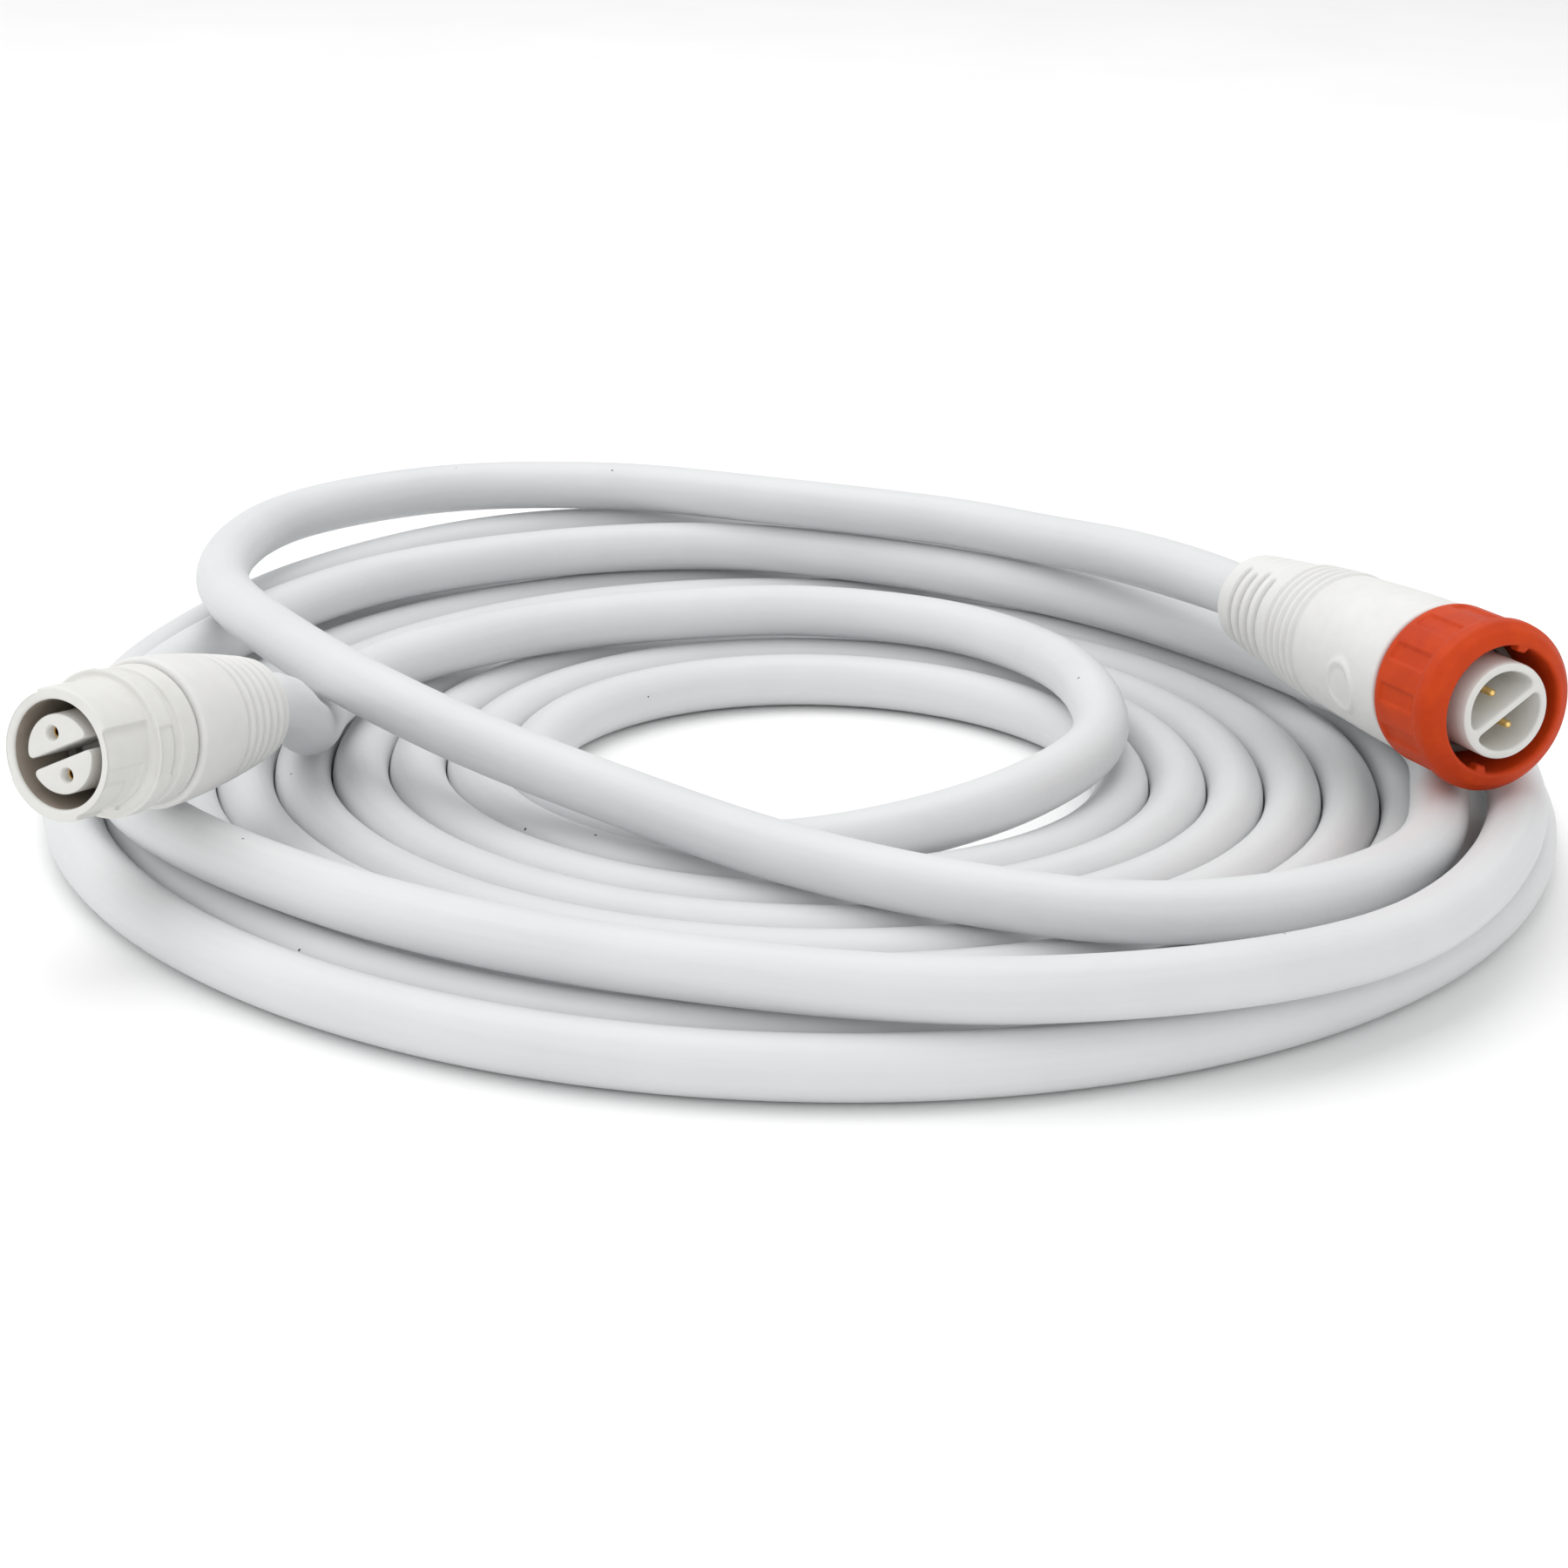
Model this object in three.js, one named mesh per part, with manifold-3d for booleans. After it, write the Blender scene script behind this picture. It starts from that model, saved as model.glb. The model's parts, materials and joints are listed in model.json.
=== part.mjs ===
// A round-jacketed two-core extension cord, wound into a flat spiral with three looser turns on top.
// One end is a moulded plug with a bayonet locking ring, the other a moulded inline socket.
// Millimetres, +Z up. The cord lies on the plane z = 0.

import * as THREE from 'three';
import { mergeVertices } from 'three/addons/utils/BufferGeometryUtils.js';
import Module from 'manifold-3d';

const wasm = await Module();
wasm.setup();

// ---------------------------------------------------------------- driving dimensions

const FIT_GAP = 0.3;                 // clearance left between pieces that touch
const CORD_DIAMETER = 8.8;           // over the jacket
const TURN_GAP = 0.2;                // air between neighbouring turns
const COIL_SKIN = 0.9;               // how far the coil's solid stays inside the cord's own surface
const COIL_TURNS = 8;                // whole turns in the bottom layer
const COIL_START = 187;              // degrees, where the cord comes down into the bottom layer
const COIL_OUTER_TURN = 12.93;       // centre line of the outermost turn, in turn pitches
const COIL_DRIFT = 0.34;             // how far the outermost turn sits back from the innermost, in pitches

const CORE_RADIUS = 1.3;             // insulated core
const CORE_SPREAD = 1.65;            // core centre to cord centre inside the jacket
const CONDUCTOR_RADIUS = 0.6;        // bare strand bundle
const CONTACT_SPREAD = 3.0;          // contact centre to connector centre
const PIN_RADIUS = 0.75;
const CRIMP_RADIUS = 1.5;
const CRIMP_LENGTH = 5.0;
const CRIMP_FLOOR = 1.0;             // solid metal ahead of the crimp's hole
const STRAND_SHORT = 1.5;            // the strands end this far behind the crimp's front
const EDGE = 0.5;                    // chamfer on the nose and on the barrel's mouth

const PLUG_MOULD_LENGTH = 52;        // rear face to front shoulder
const PLUG_MOULD_WALL = 4.3;         // outside the carrier, at the shoulder
const COLLAR_STEP = 0.3;             // end of both strain reliefs, beyond the nose's radius
const RING_LENGTH = 15.7;
const RING_WALL = 2.9;               // from the ring's bore to its fluted grip
const RING_RIM_STEP = 0.5;           // rim beyond the grip
const RING_RIM_LENGTH = 4;
const RING_LIP = 1.8;                // thickness of the rear lip that keeps the ring on
const RING_FLUTES = 12;
const FLUTE_WIDTH = 2.4;
const FLUTE_DEPTH = 0.5;
const RING_LUG_WIDTH = 10;           // degrees, each of the two lugs inside the ring's mouth
const RING_LUG_LENGTH = 2;
const RING_LUG_SETBACK = 0.5;        // ring's front face to its lugs
const NOSE_RADIUS = 7.2;             // plug nose that enters the socket
const NOSE_LENGTH = 11.0;            // ahead of the flange
const LIP_GAP = 1.5;                 // between the ring's lip and the nose's flange
const NOSE_WALL = 1.3;               // round the two half-round chambers
const CHAMBER_WALL = 1.2;            // between them
const CHAMBER_DEPTH = 10.0;
const NOSE_FLANGE = 2.0;
const PIN_SETBACK = 1.2;             // nose face to pin tip
const SEAL_THICKNESS = 1.4;          // between the nose's flange and the socket's mouth

const SOCKET_MOULD_LENGTH = 24.0;
const SOCKET_MOULD_WALL = 2.0;       // outside the shell's tail, at the shoulder
const BARREL_WALL = 1.7;
const BARREL_LENGTH = 9.0;
const STOP_STEP = 1.15;              // shoulder behind the barrel, beyond its radius
const STOP_LENGTH = 8.7;
const TRACK_DEPTH = 0.9;             // the two bayonet tracks cut in the barrel
const TRACK_TURN = 60;               // degrees that the ring turns to lock
const RUNNING_GAP = 0.3;             // between ring and barrel, and between lug and track
const POST_PLAY = 0.4;               // between a post and its chamber, outside and at the wall
const POST_RECESS = 0.5;             // barrel mouth to post face
const BARREL_DEPTH = 11.8;           // mouth to the floor that the posts stand on
const TRACK_PLAY = 4;                // degrees of room for a lug in its track
const TAIL_WALL = 0.9;               // shell's tail inside the moulding
const TAIL_SETBACK = 5.0;            // jacket's end to the shell's tail
const SLEEVE_WALL = 0.55;            // contact sleeve round the pin
const SLEEVE_SETBACK = 1.2;          // post face to the sleeve's hole
const GASKET_THICKNESS = 1.2;

const INNER_MOULD_LENGTH = 14.0;     // hard pre-mould round the crimps
const JACKET_IN_PLUG = 22.0;         // cord jacket gripped inside each moulding
const JACKET_IN_SOCKET = 9.0;

const PLUG_ROLL = 32;                // degrees, the nose's wall above level
const SOCKET_ROLL = 27;              // degrees, the slit between the posts above level
const LUG_ROLL = 72;                 // degrees, the ring's lugs above level at rest

// ---------------------------------------------------------------- sizes that follow

const cordRadius = CORD_DIAMETER / 2;
const pitch = CORD_DIAMETER + TURN_GAP;
const layerRise = CORD_DIAMETER + FIT_GAP;
const secondLayerTop = layerRise + CORD_DIAMETER;
const radians = THREE.MathUtils.degToRad;

// Radii, from the nose outwards and inwards.
const barrelBore = NOSE_RADIUS + FIT_GAP;
const barrelRadius = barrelBore + BARREL_WALL;
const trackRadius = barrelRadius - TRACK_DEPTH;
const lugRadius = trackRadius + RUNNING_GAP;
const ringBore = barrelRadius + RUNNING_GAP;
const ringGripRadius = ringBore + RING_WALL;
const ringRadius = ringGripRadius + RING_RIM_STEP;
const stopRadius = barrelRadius + STOP_STEP;
const collarRadius = NOSE_RADIUS + COLLAR_STEP;
const plugPocket = NOSE_RADIUS + FIT_GAP;
const plugMouldRadius = plugPocket + PLUG_MOULD_WALL;
const shellTail = barrelBore + TAIL_WALL;
const tailPocket = shellTail + FIT_GAP;
const socketMouldRadius = tailPocket + SOCKET_MOULD_WALL;
const chamberRadius = NOSE_RADIUS - NOSE_WALL;
const postRadius = chamberRadius - POST_PLAY;
const postSlit = CHAMBER_WALL + POST_PLAY;

// Heights along each connector, from where the cord enters.
const ringRear = PLUG_MOULD_LENGTH + FIT_GAP;
const ringFront = ringRear + RING_LENGTH;
const lipFront = ringRear + RING_LIP;
const flangeRear = lipFront + LIP_GAP;
const noseRear = flangeRear + NOSE_FLANGE;
const noseFront = noseRear + NOSE_LENGTH;
const noseProud = noseFront - ringFront;
const chamberFloor = noseFront - CHAMBER_DEPTH;
const matedDepth = NOSE_LENGTH - noseProud - SEAL_THICKNESS - FIT_GAP;
const plugCarrierRear = JACKET_IN_PLUG + INNER_MOULD_LENGTH + 2 * FIT_GAP;

const socketFront = SOCKET_MOULD_LENGTH + FIT_GAP + STOP_LENGTH + BARREL_LENGTH;
const postFace = socketFront - POST_RECESS;
const postFoot = socketFront - BARREL_DEPTH;
const socketCarrierRear = JACKET_IN_SOCKET + INNER_MOULD_LENGTH + 2 * FIT_GAP;

// A point above the floor in pitches from the coil's centre, and in layers of cord.
function place(x, y, layer) {
  return new THREE.Vector3(x * pitch, y * pitch, cordRadius + layer * layerRise);
}

// The same, from an angle in degrees and a radius in pitches.
function placeRound(degrees, radius, layer) {
  const angle = radians(degrees);
  return place(radius * Math.cos(angle), radius * Math.sin(angle), layer);
}

// ---------------------------------------------------------------- materials

const paint = (color, roughness, metalness = 0) => new THREE.MeshStandardMaterial({
  color, roughness, metalness,
});
const finish = {
  jacket: () => paint(0xdadcdd, 0.5),
  mould: () => paint(0xe4e4e1, 0.55),
  hardWhite: () => paint(0xdedfdb, 0.45),
  orange: () => paint(0xd2401a, 0.5),
  gold: () => paint(0xd9a441, 0.25, 1),
  copper: () => paint(0xb8703c, 0.35, 1),
  brown: () => paint(0x6b3f26, 0.5),
  blue: () => paint(0x2d5f9e, 0.5),
  seal: () => paint(0x8d8f90, 0.8),
};

// ---------------------------------------------------------------- solids

function named(name, geometry, material) {
  const mesh = new THREE.Mesh(geometry, material);
  mesh.name = name;
  return mesh;
}

// Turned solid about +Z from [radius, height] pairs that start and end on the axis, or close on themselves.
function turned(profile, sides = 28) {
  const points = profile.map(([radius, height]) => new THREE.Vector2(radius, height));
  const geometry = new THREE.LatheGeometry(points, sides);
  return geometry.rotateX(Math.PI / 2);
}

function rod(radius, bottom, top, sides = 16) {
  return turned([[0, bottom], [radius, bottom], [radius, top], [0, top]], sides);
}

function roundSection(radius, sides) {
  const corner = (_, i) => {
    const angle = (2 * Math.PI * i) / sides;
    return new THREE.Vector2(radius * Math.cos(angle), radius * Math.sin(angle));
  };
  return new THREE.Shape(Array.from({ length: sides }, corner));
}

// A bar of round section along a smooth curve through the points.
function bent(points, radius, sides, steps) {
  const extrudePath = new THREE.CatmullRomCurve3(points, false, 'centripetal');
  const section = roundSection(radius, sides);
  return new THREE.ExtrudeGeometry(section, { steps, bevelEnabled: false, extrudePath });
}

// Half-round block: the part of a disc beyond half a slit from its middle, on the +Y or -Y side.
function halfRound(radius, slit, bottom, top, side) {
  const from = Math.asin(slit / 2 / radius);
  const shape = new THREE.Shape();
  shape.absarc(0, 0, radius, from, Math.PI - from, false);
  shape.closePath();
  const block = new THREE.ExtrudeGeometry(shape, {
    depth: top - bottom, curveSegments: 14, bevelEnabled: false,
  });
  block.translate(0, 0, bottom);
  return side > 0 ? block : block.rotateZ(Math.PI);
}

// Sector of a ring, centred on an angle.
function sector(inner, outer, width, middle, bottom, top) {
  const half = radians(width / 2);
  const shape = new THREE.Shape();
  shape.absarc(0, 0, outer, middle - half, middle + half, false);
  shape.absarc(0, 0, inner, middle + half, middle - half, true);
  shape.closePath();
  const block = new THREE.ExtrudeGeometry(shape, {
    depth: top - bottom, curveSegments: 6, bevelEnabled: false,
  });
  return block.translate(0, 0, bottom);
}

// ---------------------------------------------------------------- joining and cutting

function solid(geometry) {
  const bare = geometry.index ? geometry.toNonIndexed() : geometry.clone();
  bare.deleteAttribute('normal');
  bare.deleteAttribute('uv');
  const merged = mergeVertices(bare, 1e-4);
  return new wasm.Manifold(new wasm.Mesh({
    numProp: 3,
    vertProperties: new Float32Array(merged.attributes.position.array),
    triVerts: new Uint32Array(merged.index.array),
  }));
}

function geometryOf(body) {
  const mesh = body.getMesh();
  const geometry = new THREE.BufferGeometry();
  geometry.setAttribute('position', new THREE.BufferAttribute(mesh.vertProperties, 3));
  geometry.setIndex(new THREE.BufferAttribute(mesh.triVerts, 1));
  geometry.computeVertexNormals();
  return geometry;
}

function shaped(base, { join = [], cut = [] }) {
  let body = solid(base);
  for (const piece of join) body = body.add(solid(piece));
  for (const piece of cut) body = body.subtract(solid(piece));
  return geometryOf(body);
}

// ---------------------------------------------------------------- the two mouldings' inside pieces

// Centre line of one core: inside the jacket, then spreading to the contact behind it.
function corePath(side, jacketEnd, crimpRear) {
  const start = FIT_GAP;
  const near = side * CORE_SPREAD;
  const far = side * CONTACT_SPREAD;
  return [
    new THREE.Vector3(0, near, start),
    new THREE.Vector3(0, near, jacketEnd - 3),
    new THREE.Vector3(0, near, jacketEnd - 1),
    new THREE.Vector3(0, (near + far) / 2, (jacketEnd + crimpRear) / 2),
    new THREE.Vector3(0, far, crimpRear - 1.5),
    new THREE.Vector3(0, far, crimpRear - FIT_GAP),
  ];
}

// Cores, bare ends, jacket end and pre-mould behind a pair of contacts. Returns the crimps' rear face.
function addCordEnd(parent, prefix, jacketEnd, carrierRear, mouldRadius) {
  const crimpRear = carrierRear - FIT_GAP - CRIMP_LENGTH;
  const coreColours = [finish.brown, finish.blue];
  const jacketHoles = [];
  const mouldHoles = [];
  [1, -1].forEach((side, i) => {
    const path = corePath(side, jacketEnd, crimpRear);
    const core = bent(path, CORE_RADIUS, 10, 10);
    const conductor = rod(CONDUCTOR_RADIUS, crimpRear, crimpRear + CRIMP_LENGTH - STRAND_SHORT, 8)
      .translate(0, side * CONTACT_SPREAD, 0);
    parent.add(named(`${prefix}_core_${i + 1}`, core, coreColours[i]()));
    parent.add(named(`${prefix}_conductor_${i + 1}`, conductor, finish.copper()));
    const clear = bent([path[0].clone().setZ(-1), ...path.slice(1)], CORE_RADIUS + FIT_GAP, 10, 12);
    jacketHoles.push(clear);
    const crimpHole = rod(CRIMP_RADIUS + FIT_GAP, crimpRear - 1, carrierRear + 1)
      .translate(0, side * CONTACT_SPREAD, 0);
    mouldHoles.push(clear, crimpHole);
  });
  const jacket = shaped(rod(cordRadius, 0, jacketEnd, 24), { cut: jacketHoles });
  parent.add(named(`${prefix}_jacket_end`, jacket, finish.jacket()));
  const mouldRear = jacketEnd + FIT_GAP;
  const mould = shaped(rod(mouldRadius, mouldRear, carrierRear - FIT_GAP, 24), { cut: mouldHoles });
  parent.add(named(`${prefix}_inner_mould`, mould, finish.hardWhite()));
  return crimpRear;
}

// ---------------------------------------------------------------- plug

// Outer line of a moulded grip: a rounded end collar that swells towards the shoulder, with a V groove
// at each place in the list.
function gripLine(length, radius, grooves) {
  const swell = (height) => collarRadius + (radius - collarRadius) * (1 - (1 - height / length) ** 1.6);
  const line = [[collarRadius - 1, 0], [collarRadius, 1]];
  for (const { at, width, depth } of grooves) {
    line.push([swell(at - width / 2), at - width / 2]);
    line.push([swell(at) - depth, at]);
    line.push([swell(at + width / 2), at + width / 2]);
  }
  const smoothFrom = line[line.length - 1][1];
  const step = (length - 1.5 - smoothFrom) / 3;
  for (let i = 1; i <= 3; i += 1) {
    const height = smoothFrom + i * step;
    line.push([swell(height), height]);
  }
  line.push([radius - 0.7, length]);
  return line;
}

// Evenly spaced grooves of one size.
function grooveRow(first, spacing, count, width, depth) {
  return Array.from({ length: count }, (_, i) => ({ at: first + i * spacing, width, depth }));
}

function buildPlug() {
  const plug = new THREE.Group();
  const flexGrooves = grooveRow(6.5, 3.3, 4, 1.6, 1.2);
  const gripGrooves = grooveRow(19, 1.9, 5, 1, 0.4);
  const outline = [
    [cordRadius + FIT_GAP, 0],
    ...gripLine(PLUG_MOULD_LENGTH, plugMouldRadius, [...flexGrooves, ...gripGrooves]),
    [plugPocket, PLUG_MOULD_LENGTH],
    [plugPocket, JACKET_IN_PLUG],
    [cordRadius + FIT_GAP, JACKET_IN_PLUG],
    [cordRadius + FIT_GAP, 0],
  ];
  plug.add(named('plug_overmould', turned(outline), finish.mould()));

  const carrierLine = [
    [0, plugCarrierRear],
    [NOSE_RADIUS, plugCarrierRear],
    [NOSE_RADIUS, flangeRear],
    [barrelRadius, flangeRear],
    [barrelRadius, noseRear],
    [NOSE_RADIUS, noseRear],
    [NOSE_RADIUS, noseFront - EDGE],
    [NOSE_RADIUS - EDGE, noseFront],
    [0, noseFront],
  ];
  const sides = [1, -1];
  const chambers = sides.map((side) => (
    halfRound(chamberRadius, CHAMBER_WALL, chamberFloor, noseFront + 1, side)));
  const pinHoles = sides.map((side) => (
    rod(PIN_RADIUS + FIT_GAP, plugCarrierRear - 1, chamberFloor + 1)
      .translate(0, side * CONTACT_SPREAD, 0)));
  const carrier = shaped(turned(carrierLine), { cut: [...chambers, ...pinHoles] });
  plug.add(named('plug_contact_carrier', carrier, finish.hardWhite()));

  const crimpRear = addCordEnd(plug, 'plug', JACKET_IN_PLUG, plugCarrierRear, NOSE_RADIUS);
  const pinTip = noseFront - PIN_SETBACK;
  sides.forEach((side, i) => {
    const crimpFront = crimpRear + CRIMP_LENGTH;
    const pin = turned([
      [CONDUCTOR_RADIUS + FIT_GAP, crimpRear],
      [CRIMP_RADIUS, crimpRear],
      [CRIMP_RADIUS, crimpFront],
      [PIN_RADIUS, crimpFront],
      [PIN_RADIUS, pinTip - 0.8],
      [PIN_RADIUS * 0.6, pinTip - 0.2],
      [0, pinTip],
      [0, crimpFront - CRIMP_FLOOR],
      [CONDUCTOR_RADIUS + FIT_GAP, crimpFront - CRIMP_FLOOR],
      [CONDUCTOR_RADIUS + FIT_GAP, crimpRear],
    ], 12).translate(0, side * CONTACT_SPREAD, 0);
    plug.add(named(`plug_pin_${i + 1}`, pin, finish.gold()));
  });

  const sealRadius = SEAL_THICKNESS / 2;
  const seal = new THREE.TorusGeometry(NOSE_RADIUS + FIT_GAP + sealRadius, sealRadius, 8, 28)
    .translate(0, 0, noseRear + sealRadius + FIT_GAP);
  plug.add(named('plug_nose_seal', seal, finish.seal()));
  plug.rotation.z = radians(PLUG_ROLL);
  return plug;
}

function buildLockingRing() {
  const lipBore = NOSE_RADIUS + FIT_GAP;
  const rimRear = ringFront - RING_RIM_LENGTH;
  const line = [
    [lipBore, ringRear],
    [ringGripRadius - 1, ringRear],
    [ringGripRadius - 0.2, ringRear + 1],
    [ringGripRadius, rimRear - 0.5],
    [ringRadius, rimRear],
    [ringRadius - 0.3, ringFront - 2.4],
    [ringRadius - 1.4, ringFront - 0.8],
    [ringBore + 0.4, ringFront],
    [ringBore, ringFront - 0.4],
    [ringBore, lipFront],
    [lipBore, lipFront],
    [lipBore, ringRear],
  ];
  const lugFront = ringFront - RING_LUG_SETBACK;
  const lugs = [0, Math.PI].map((turn) => (
    sector(lugRadius, ringBore + 1, RING_LUG_WIDTH, turn, lugFront - RING_LUG_LENGTH, lugFront)));
  const fluteLength = rimRear - ringRear - 3;
  const flutes = Array.from({ length: RING_FLUTES }, (_, i) => {
    const flute = new THREE.BoxGeometry(2 * FLUTE_DEPTH, FLUTE_WIDTH, fluteLength);
    flute.translate(ringGripRadius, 0, ringRear + 2 + fluteLength / 2);
    return flute.rotateZ((2 * Math.PI * (i + 0.5)) / RING_FLUTES);
  });
  const ring = named('locking_ring', shaped(turned(line), { join: lugs, cut: flutes }), finish.orange());
  ring.rotation.z = radians(LUG_ROLL);
  return ring;
}

// ---------------------------------------------------------------- socket

function buildSocket() {
  const socket = new THREE.Group();
  const shellRear = JACKET_IN_SOCKET + TAIL_SETBACK;
  const outline = [
    [cordRadius + FIT_GAP, 0],
    ...gripLine(SOCKET_MOULD_LENGTH, socketMouldRadius, grooveRow(2.6, 1.75, 6, 1.1, 0.7)),
    [tailPocket, SOCKET_MOULD_LENGTH],
    [tailPocket, JACKET_IN_SOCKET],
    [cordRadius + FIT_GAP, JACKET_IN_SOCKET],
    [cordRadius + FIT_GAP, 0],
  ];
  socket.add(named('socket_overmould', turned(outline), finish.mould()));

  const stopRear = SOCKET_MOULD_LENGTH + FIT_GAP;
  const barrelRear = socketFront - BARREL_LENGTH;
  const grooveRear = stopRear + 0.4 * STOP_LENGTH;
  const shellLine = [
    [barrelBore, shellRear],
    [shellTail, shellRear],
    [shellTail, stopRear],
    [stopRadius - 0.4, stopRear],
    [stopRadius - 0.4, grooveRear],
    [stopRadius - 1.1, grooveRear + 0.3],
    [stopRadius - 1.1, grooveRear + 1.6],
    [stopRadius, grooveRear + 1.9],
    [stopRadius, barrelRear],
    [barrelRadius, barrelRear],
    [barrelRadius, socketFront - EDGE],
    [barrelRadius - EDGE, socketFront],
    [barrelBore, socketFront],
    [barrelBore, shellRear],
  ];
  // In the socket's own frame the ring is seen from inside, so its lugs sit and turn the other way.
  const trackFront = socketFront - matedDepth + RING_LUG_SETBACK + RING_LUG_LENGTH + RUNNING_GAP;
  const trackRear = trackFront - RING_LUG_LENGTH - 2 * RUNNING_GAP;
  const entryRoll = radians(PLUG_ROLL - LUG_ROLL);
  const entryWidth = RING_LUG_WIDTH + TRACK_PLAY;
  const tracks = [0, Math.PI].flatMap((turn) => [
    sector(trackRadius, barrelRadius + 1, entryWidth, turn + entryRoll, trackRear, socketFront + 1),
    sector(
      trackRadius, barrelRadius + 1, entryWidth + TRACK_TURN,
      turn + entryRoll - radians(TRACK_TURN / 2), trackRear, trackFront,
    ),
  ]);
  const shell = shaped(turned(shellLine), { cut: tracks });
  socket.add(named('socket_shell', shell, finish.hardWhite()));

  const carrierRadius = barrelBore - FIT_GAP;
  const sleeveRadius = PIN_RADIUS + SLEEVE_WALL;
  const sides = [1, -1];
  const posts = sides.map((side) => (
    halfRound(postRadius, postSlit, postFoot - 1, postFace, side)));
  const sleeveHoles = sides.map((side) => (
    rod(sleeveRadius + FIT_GAP, socketCarrierRear - 1, postFace - SLEEVE_SETBACK)
      .translate(0, side * CONTACT_SPREAD, 0)));
  const pinHoles = sides.map((side) => (
    rod(PIN_RADIUS + FIT_GAP, postFace - 2, postFace + 1).translate(0, side * CONTACT_SPREAD, 0)));
  const carrier = shaped(rod(carrierRadius, socketCarrierRear, postFoot, 32), {
    join: posts, cut: [...sleeveHoles, ...pinHoles],
  });
  socket.add(named('socket_contact_carrier', carrier, finish.hardWhite()));

  const crimpRear = addCordEnd(socket, 'socket', JACKET_IN_SOCKET, socketCarrierRear, carrierRadius);
  sides.forEach((side, i) => {
    const crimpFront = crimpRear + CRIMP_LENGTH;
    const sleeveFront = postFace - SLEEVE_SETBACK - FIT_GAP;
    const sleeve = turned([
      [CONDUCTOR_RADIUS + FIT_GAP, crimpRear],
      [CRIMP_RADIUS, crimpRear],
      [CRIMP_RADIUS, crimpFront],
      [sleeveRadius, crimpFront],
      [sleeveRadius, sleeveFront],
      [PIN_RADIUS, sleeveFront],
      [PIN_RADIUS, crimpFront + 0.5],
      [0, crimpFront + 0.5],
      [0, crimpFront - CRIMP_FLOOR],
      [CONDUCTOR_RADIUS + FIT_GAP, crimpFront - CRIMP_FLOOR],
      [CONDUCTOR_RADIUS + FIT_GAP, crimpRear],
    ], 12).translate(0, side * CONTACT_SPREAD, 0);
    socket.add(named(`socket_contact_${i + 1}`, sleeve, finish.gold()));
  });

  const gasket = turned([
    [postRadius + FIT_GAP, postFoot + FIT_GAP],
    [carrierRadius, postFoot + FIT_GAP],
    [carrierRadius, postFoot + FIT_GAP + GASKET_THICKNESS],
    [postRadius + FIT_GAP, postFoot + FIT_GAP + GASKET_THICKNESS],
    [postRadius + FIT_GAP, postFoot + FIT_GAP],
  ], 28);
  socket.add(named('socket_face_gasket', gasket, finish.seal()));
  socket.rotation.z = radians(SOCKET_ROLL);
  return socket;
}

// ---------------------------------------------------------------- where the connectors lie

// A connector's frame: origin where the cord enters, +Z towards its mating face, +Y as upright as can be.
function lieAlong(group, exit, heading, length, frontHeight) {
  const tilt = Math.asin((frontHeight - exit.z) / length);
  const forward = new THREE.Vector3(
    Math.cos(radians(heading)) * Math.cos(tilt),
    Math.sin(radians(heading)) * Math.cos(tilt),
    Math.sin(tilt),
  );
  const side = new THREE.Vector3(0, 0, 1).cross(forward).normalize();
  const upright = forward.clone().cross(side);
  group.quaternion.setFromRotationMatrix(new THREE.Matrix4().makeBasis(side, upright, forward));
  group.position.copy(exit);
  return forward;
}

const plugExit = place(7.95, 2.15, 2.68);
const socketExit = place(-9.08, -4.61, 2.475);
const plugHeading = -66.1;
const socketHeading = -118;
const restGap = 0.5;                 // the ring's rim over the turn that the plug rests on
const socketRise = 14.4;             // socket's mouth above the second layer, it rests near its middle

const plugGroup = new THREE.Group();
plugGroup.add(buildPlug(), buildLockingRing());
const plugFrontHeight = secondLayerTop + restGap + ringRadius;
const plugForward = lieAlong(plugGroup, plugExit, plugHeading, ringFront, plugFrontHeight);

const socketGroup = new THREE.Group();
socketGroup.add(buildSocket());
const socketFrontHeight = secondLayerTop + socketRise;
const socketForward = lieAlong(socketGroup, socketExit, socketHeading, socketFront, socketFrontHeight);

// ---------------------------------------------------------------- cord

// Centre line of the flat spiral, by the angle travelled from where the cord comes down. The turns
// close in by one pitch a turn, and their centre drifts forward as they do.
function coilPoint(travelled) {
  const turns = travelled / 360;
  const point = placeRound(COIL_START + travelled, COIL_OUTER_TURN - turns, 0);
  point.y += COIL_DRIFT * pitch * (1 - turns / COIL_TURNS);
  return point;
}

// The coil's edge: the spiral moved out or in by most of a cord's radius.
function coilEdge(from, to, offset, count) {
  return Array.from({ length: count + 1 }, (_, i) => {
    const travelled = from + ((to - from) * i) / count;
    const angle = radians(COIL_START + travelled);
    const point = coilPoint(travelled);
    return new THREE.Vector2(point.x + offset * Math.cos(angle), point.y + offset * Math.sin(angle));
  });
}

function buildCoil() {
  const inset = cordRadius - COIL_SKIN;
  const outline = new THREE.Shape(coilEdge(0, 360, inset, 72));
  outline.holes.push(new THREE.Path(coilEdge(innerEnd - 360, innerEnd, -inset, 48)));
  return new THREE.ExtrudeGeometry(outline, { depth: CORD_DIAMETER, bevelEnabled: false });
}

const exitRun = 1.4 * CORD_DIAMETER;
const innerEnd = COIL_TURNS * 360;

// Degrees of travel that a distance along the cord takes up at a turn of the given radius in pitches.
const travel = (distance, radius) => THREE.MathUtils.radToDeg(distance / (radius * pitch));
const outerGap = travel(1.5 * FIT_GAP, COIL_OUTER_TURN);
const innerGap = travel(1.8 * FIT_GAP, COIL_OUTER_TURN - COIL_TURNS);

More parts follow.
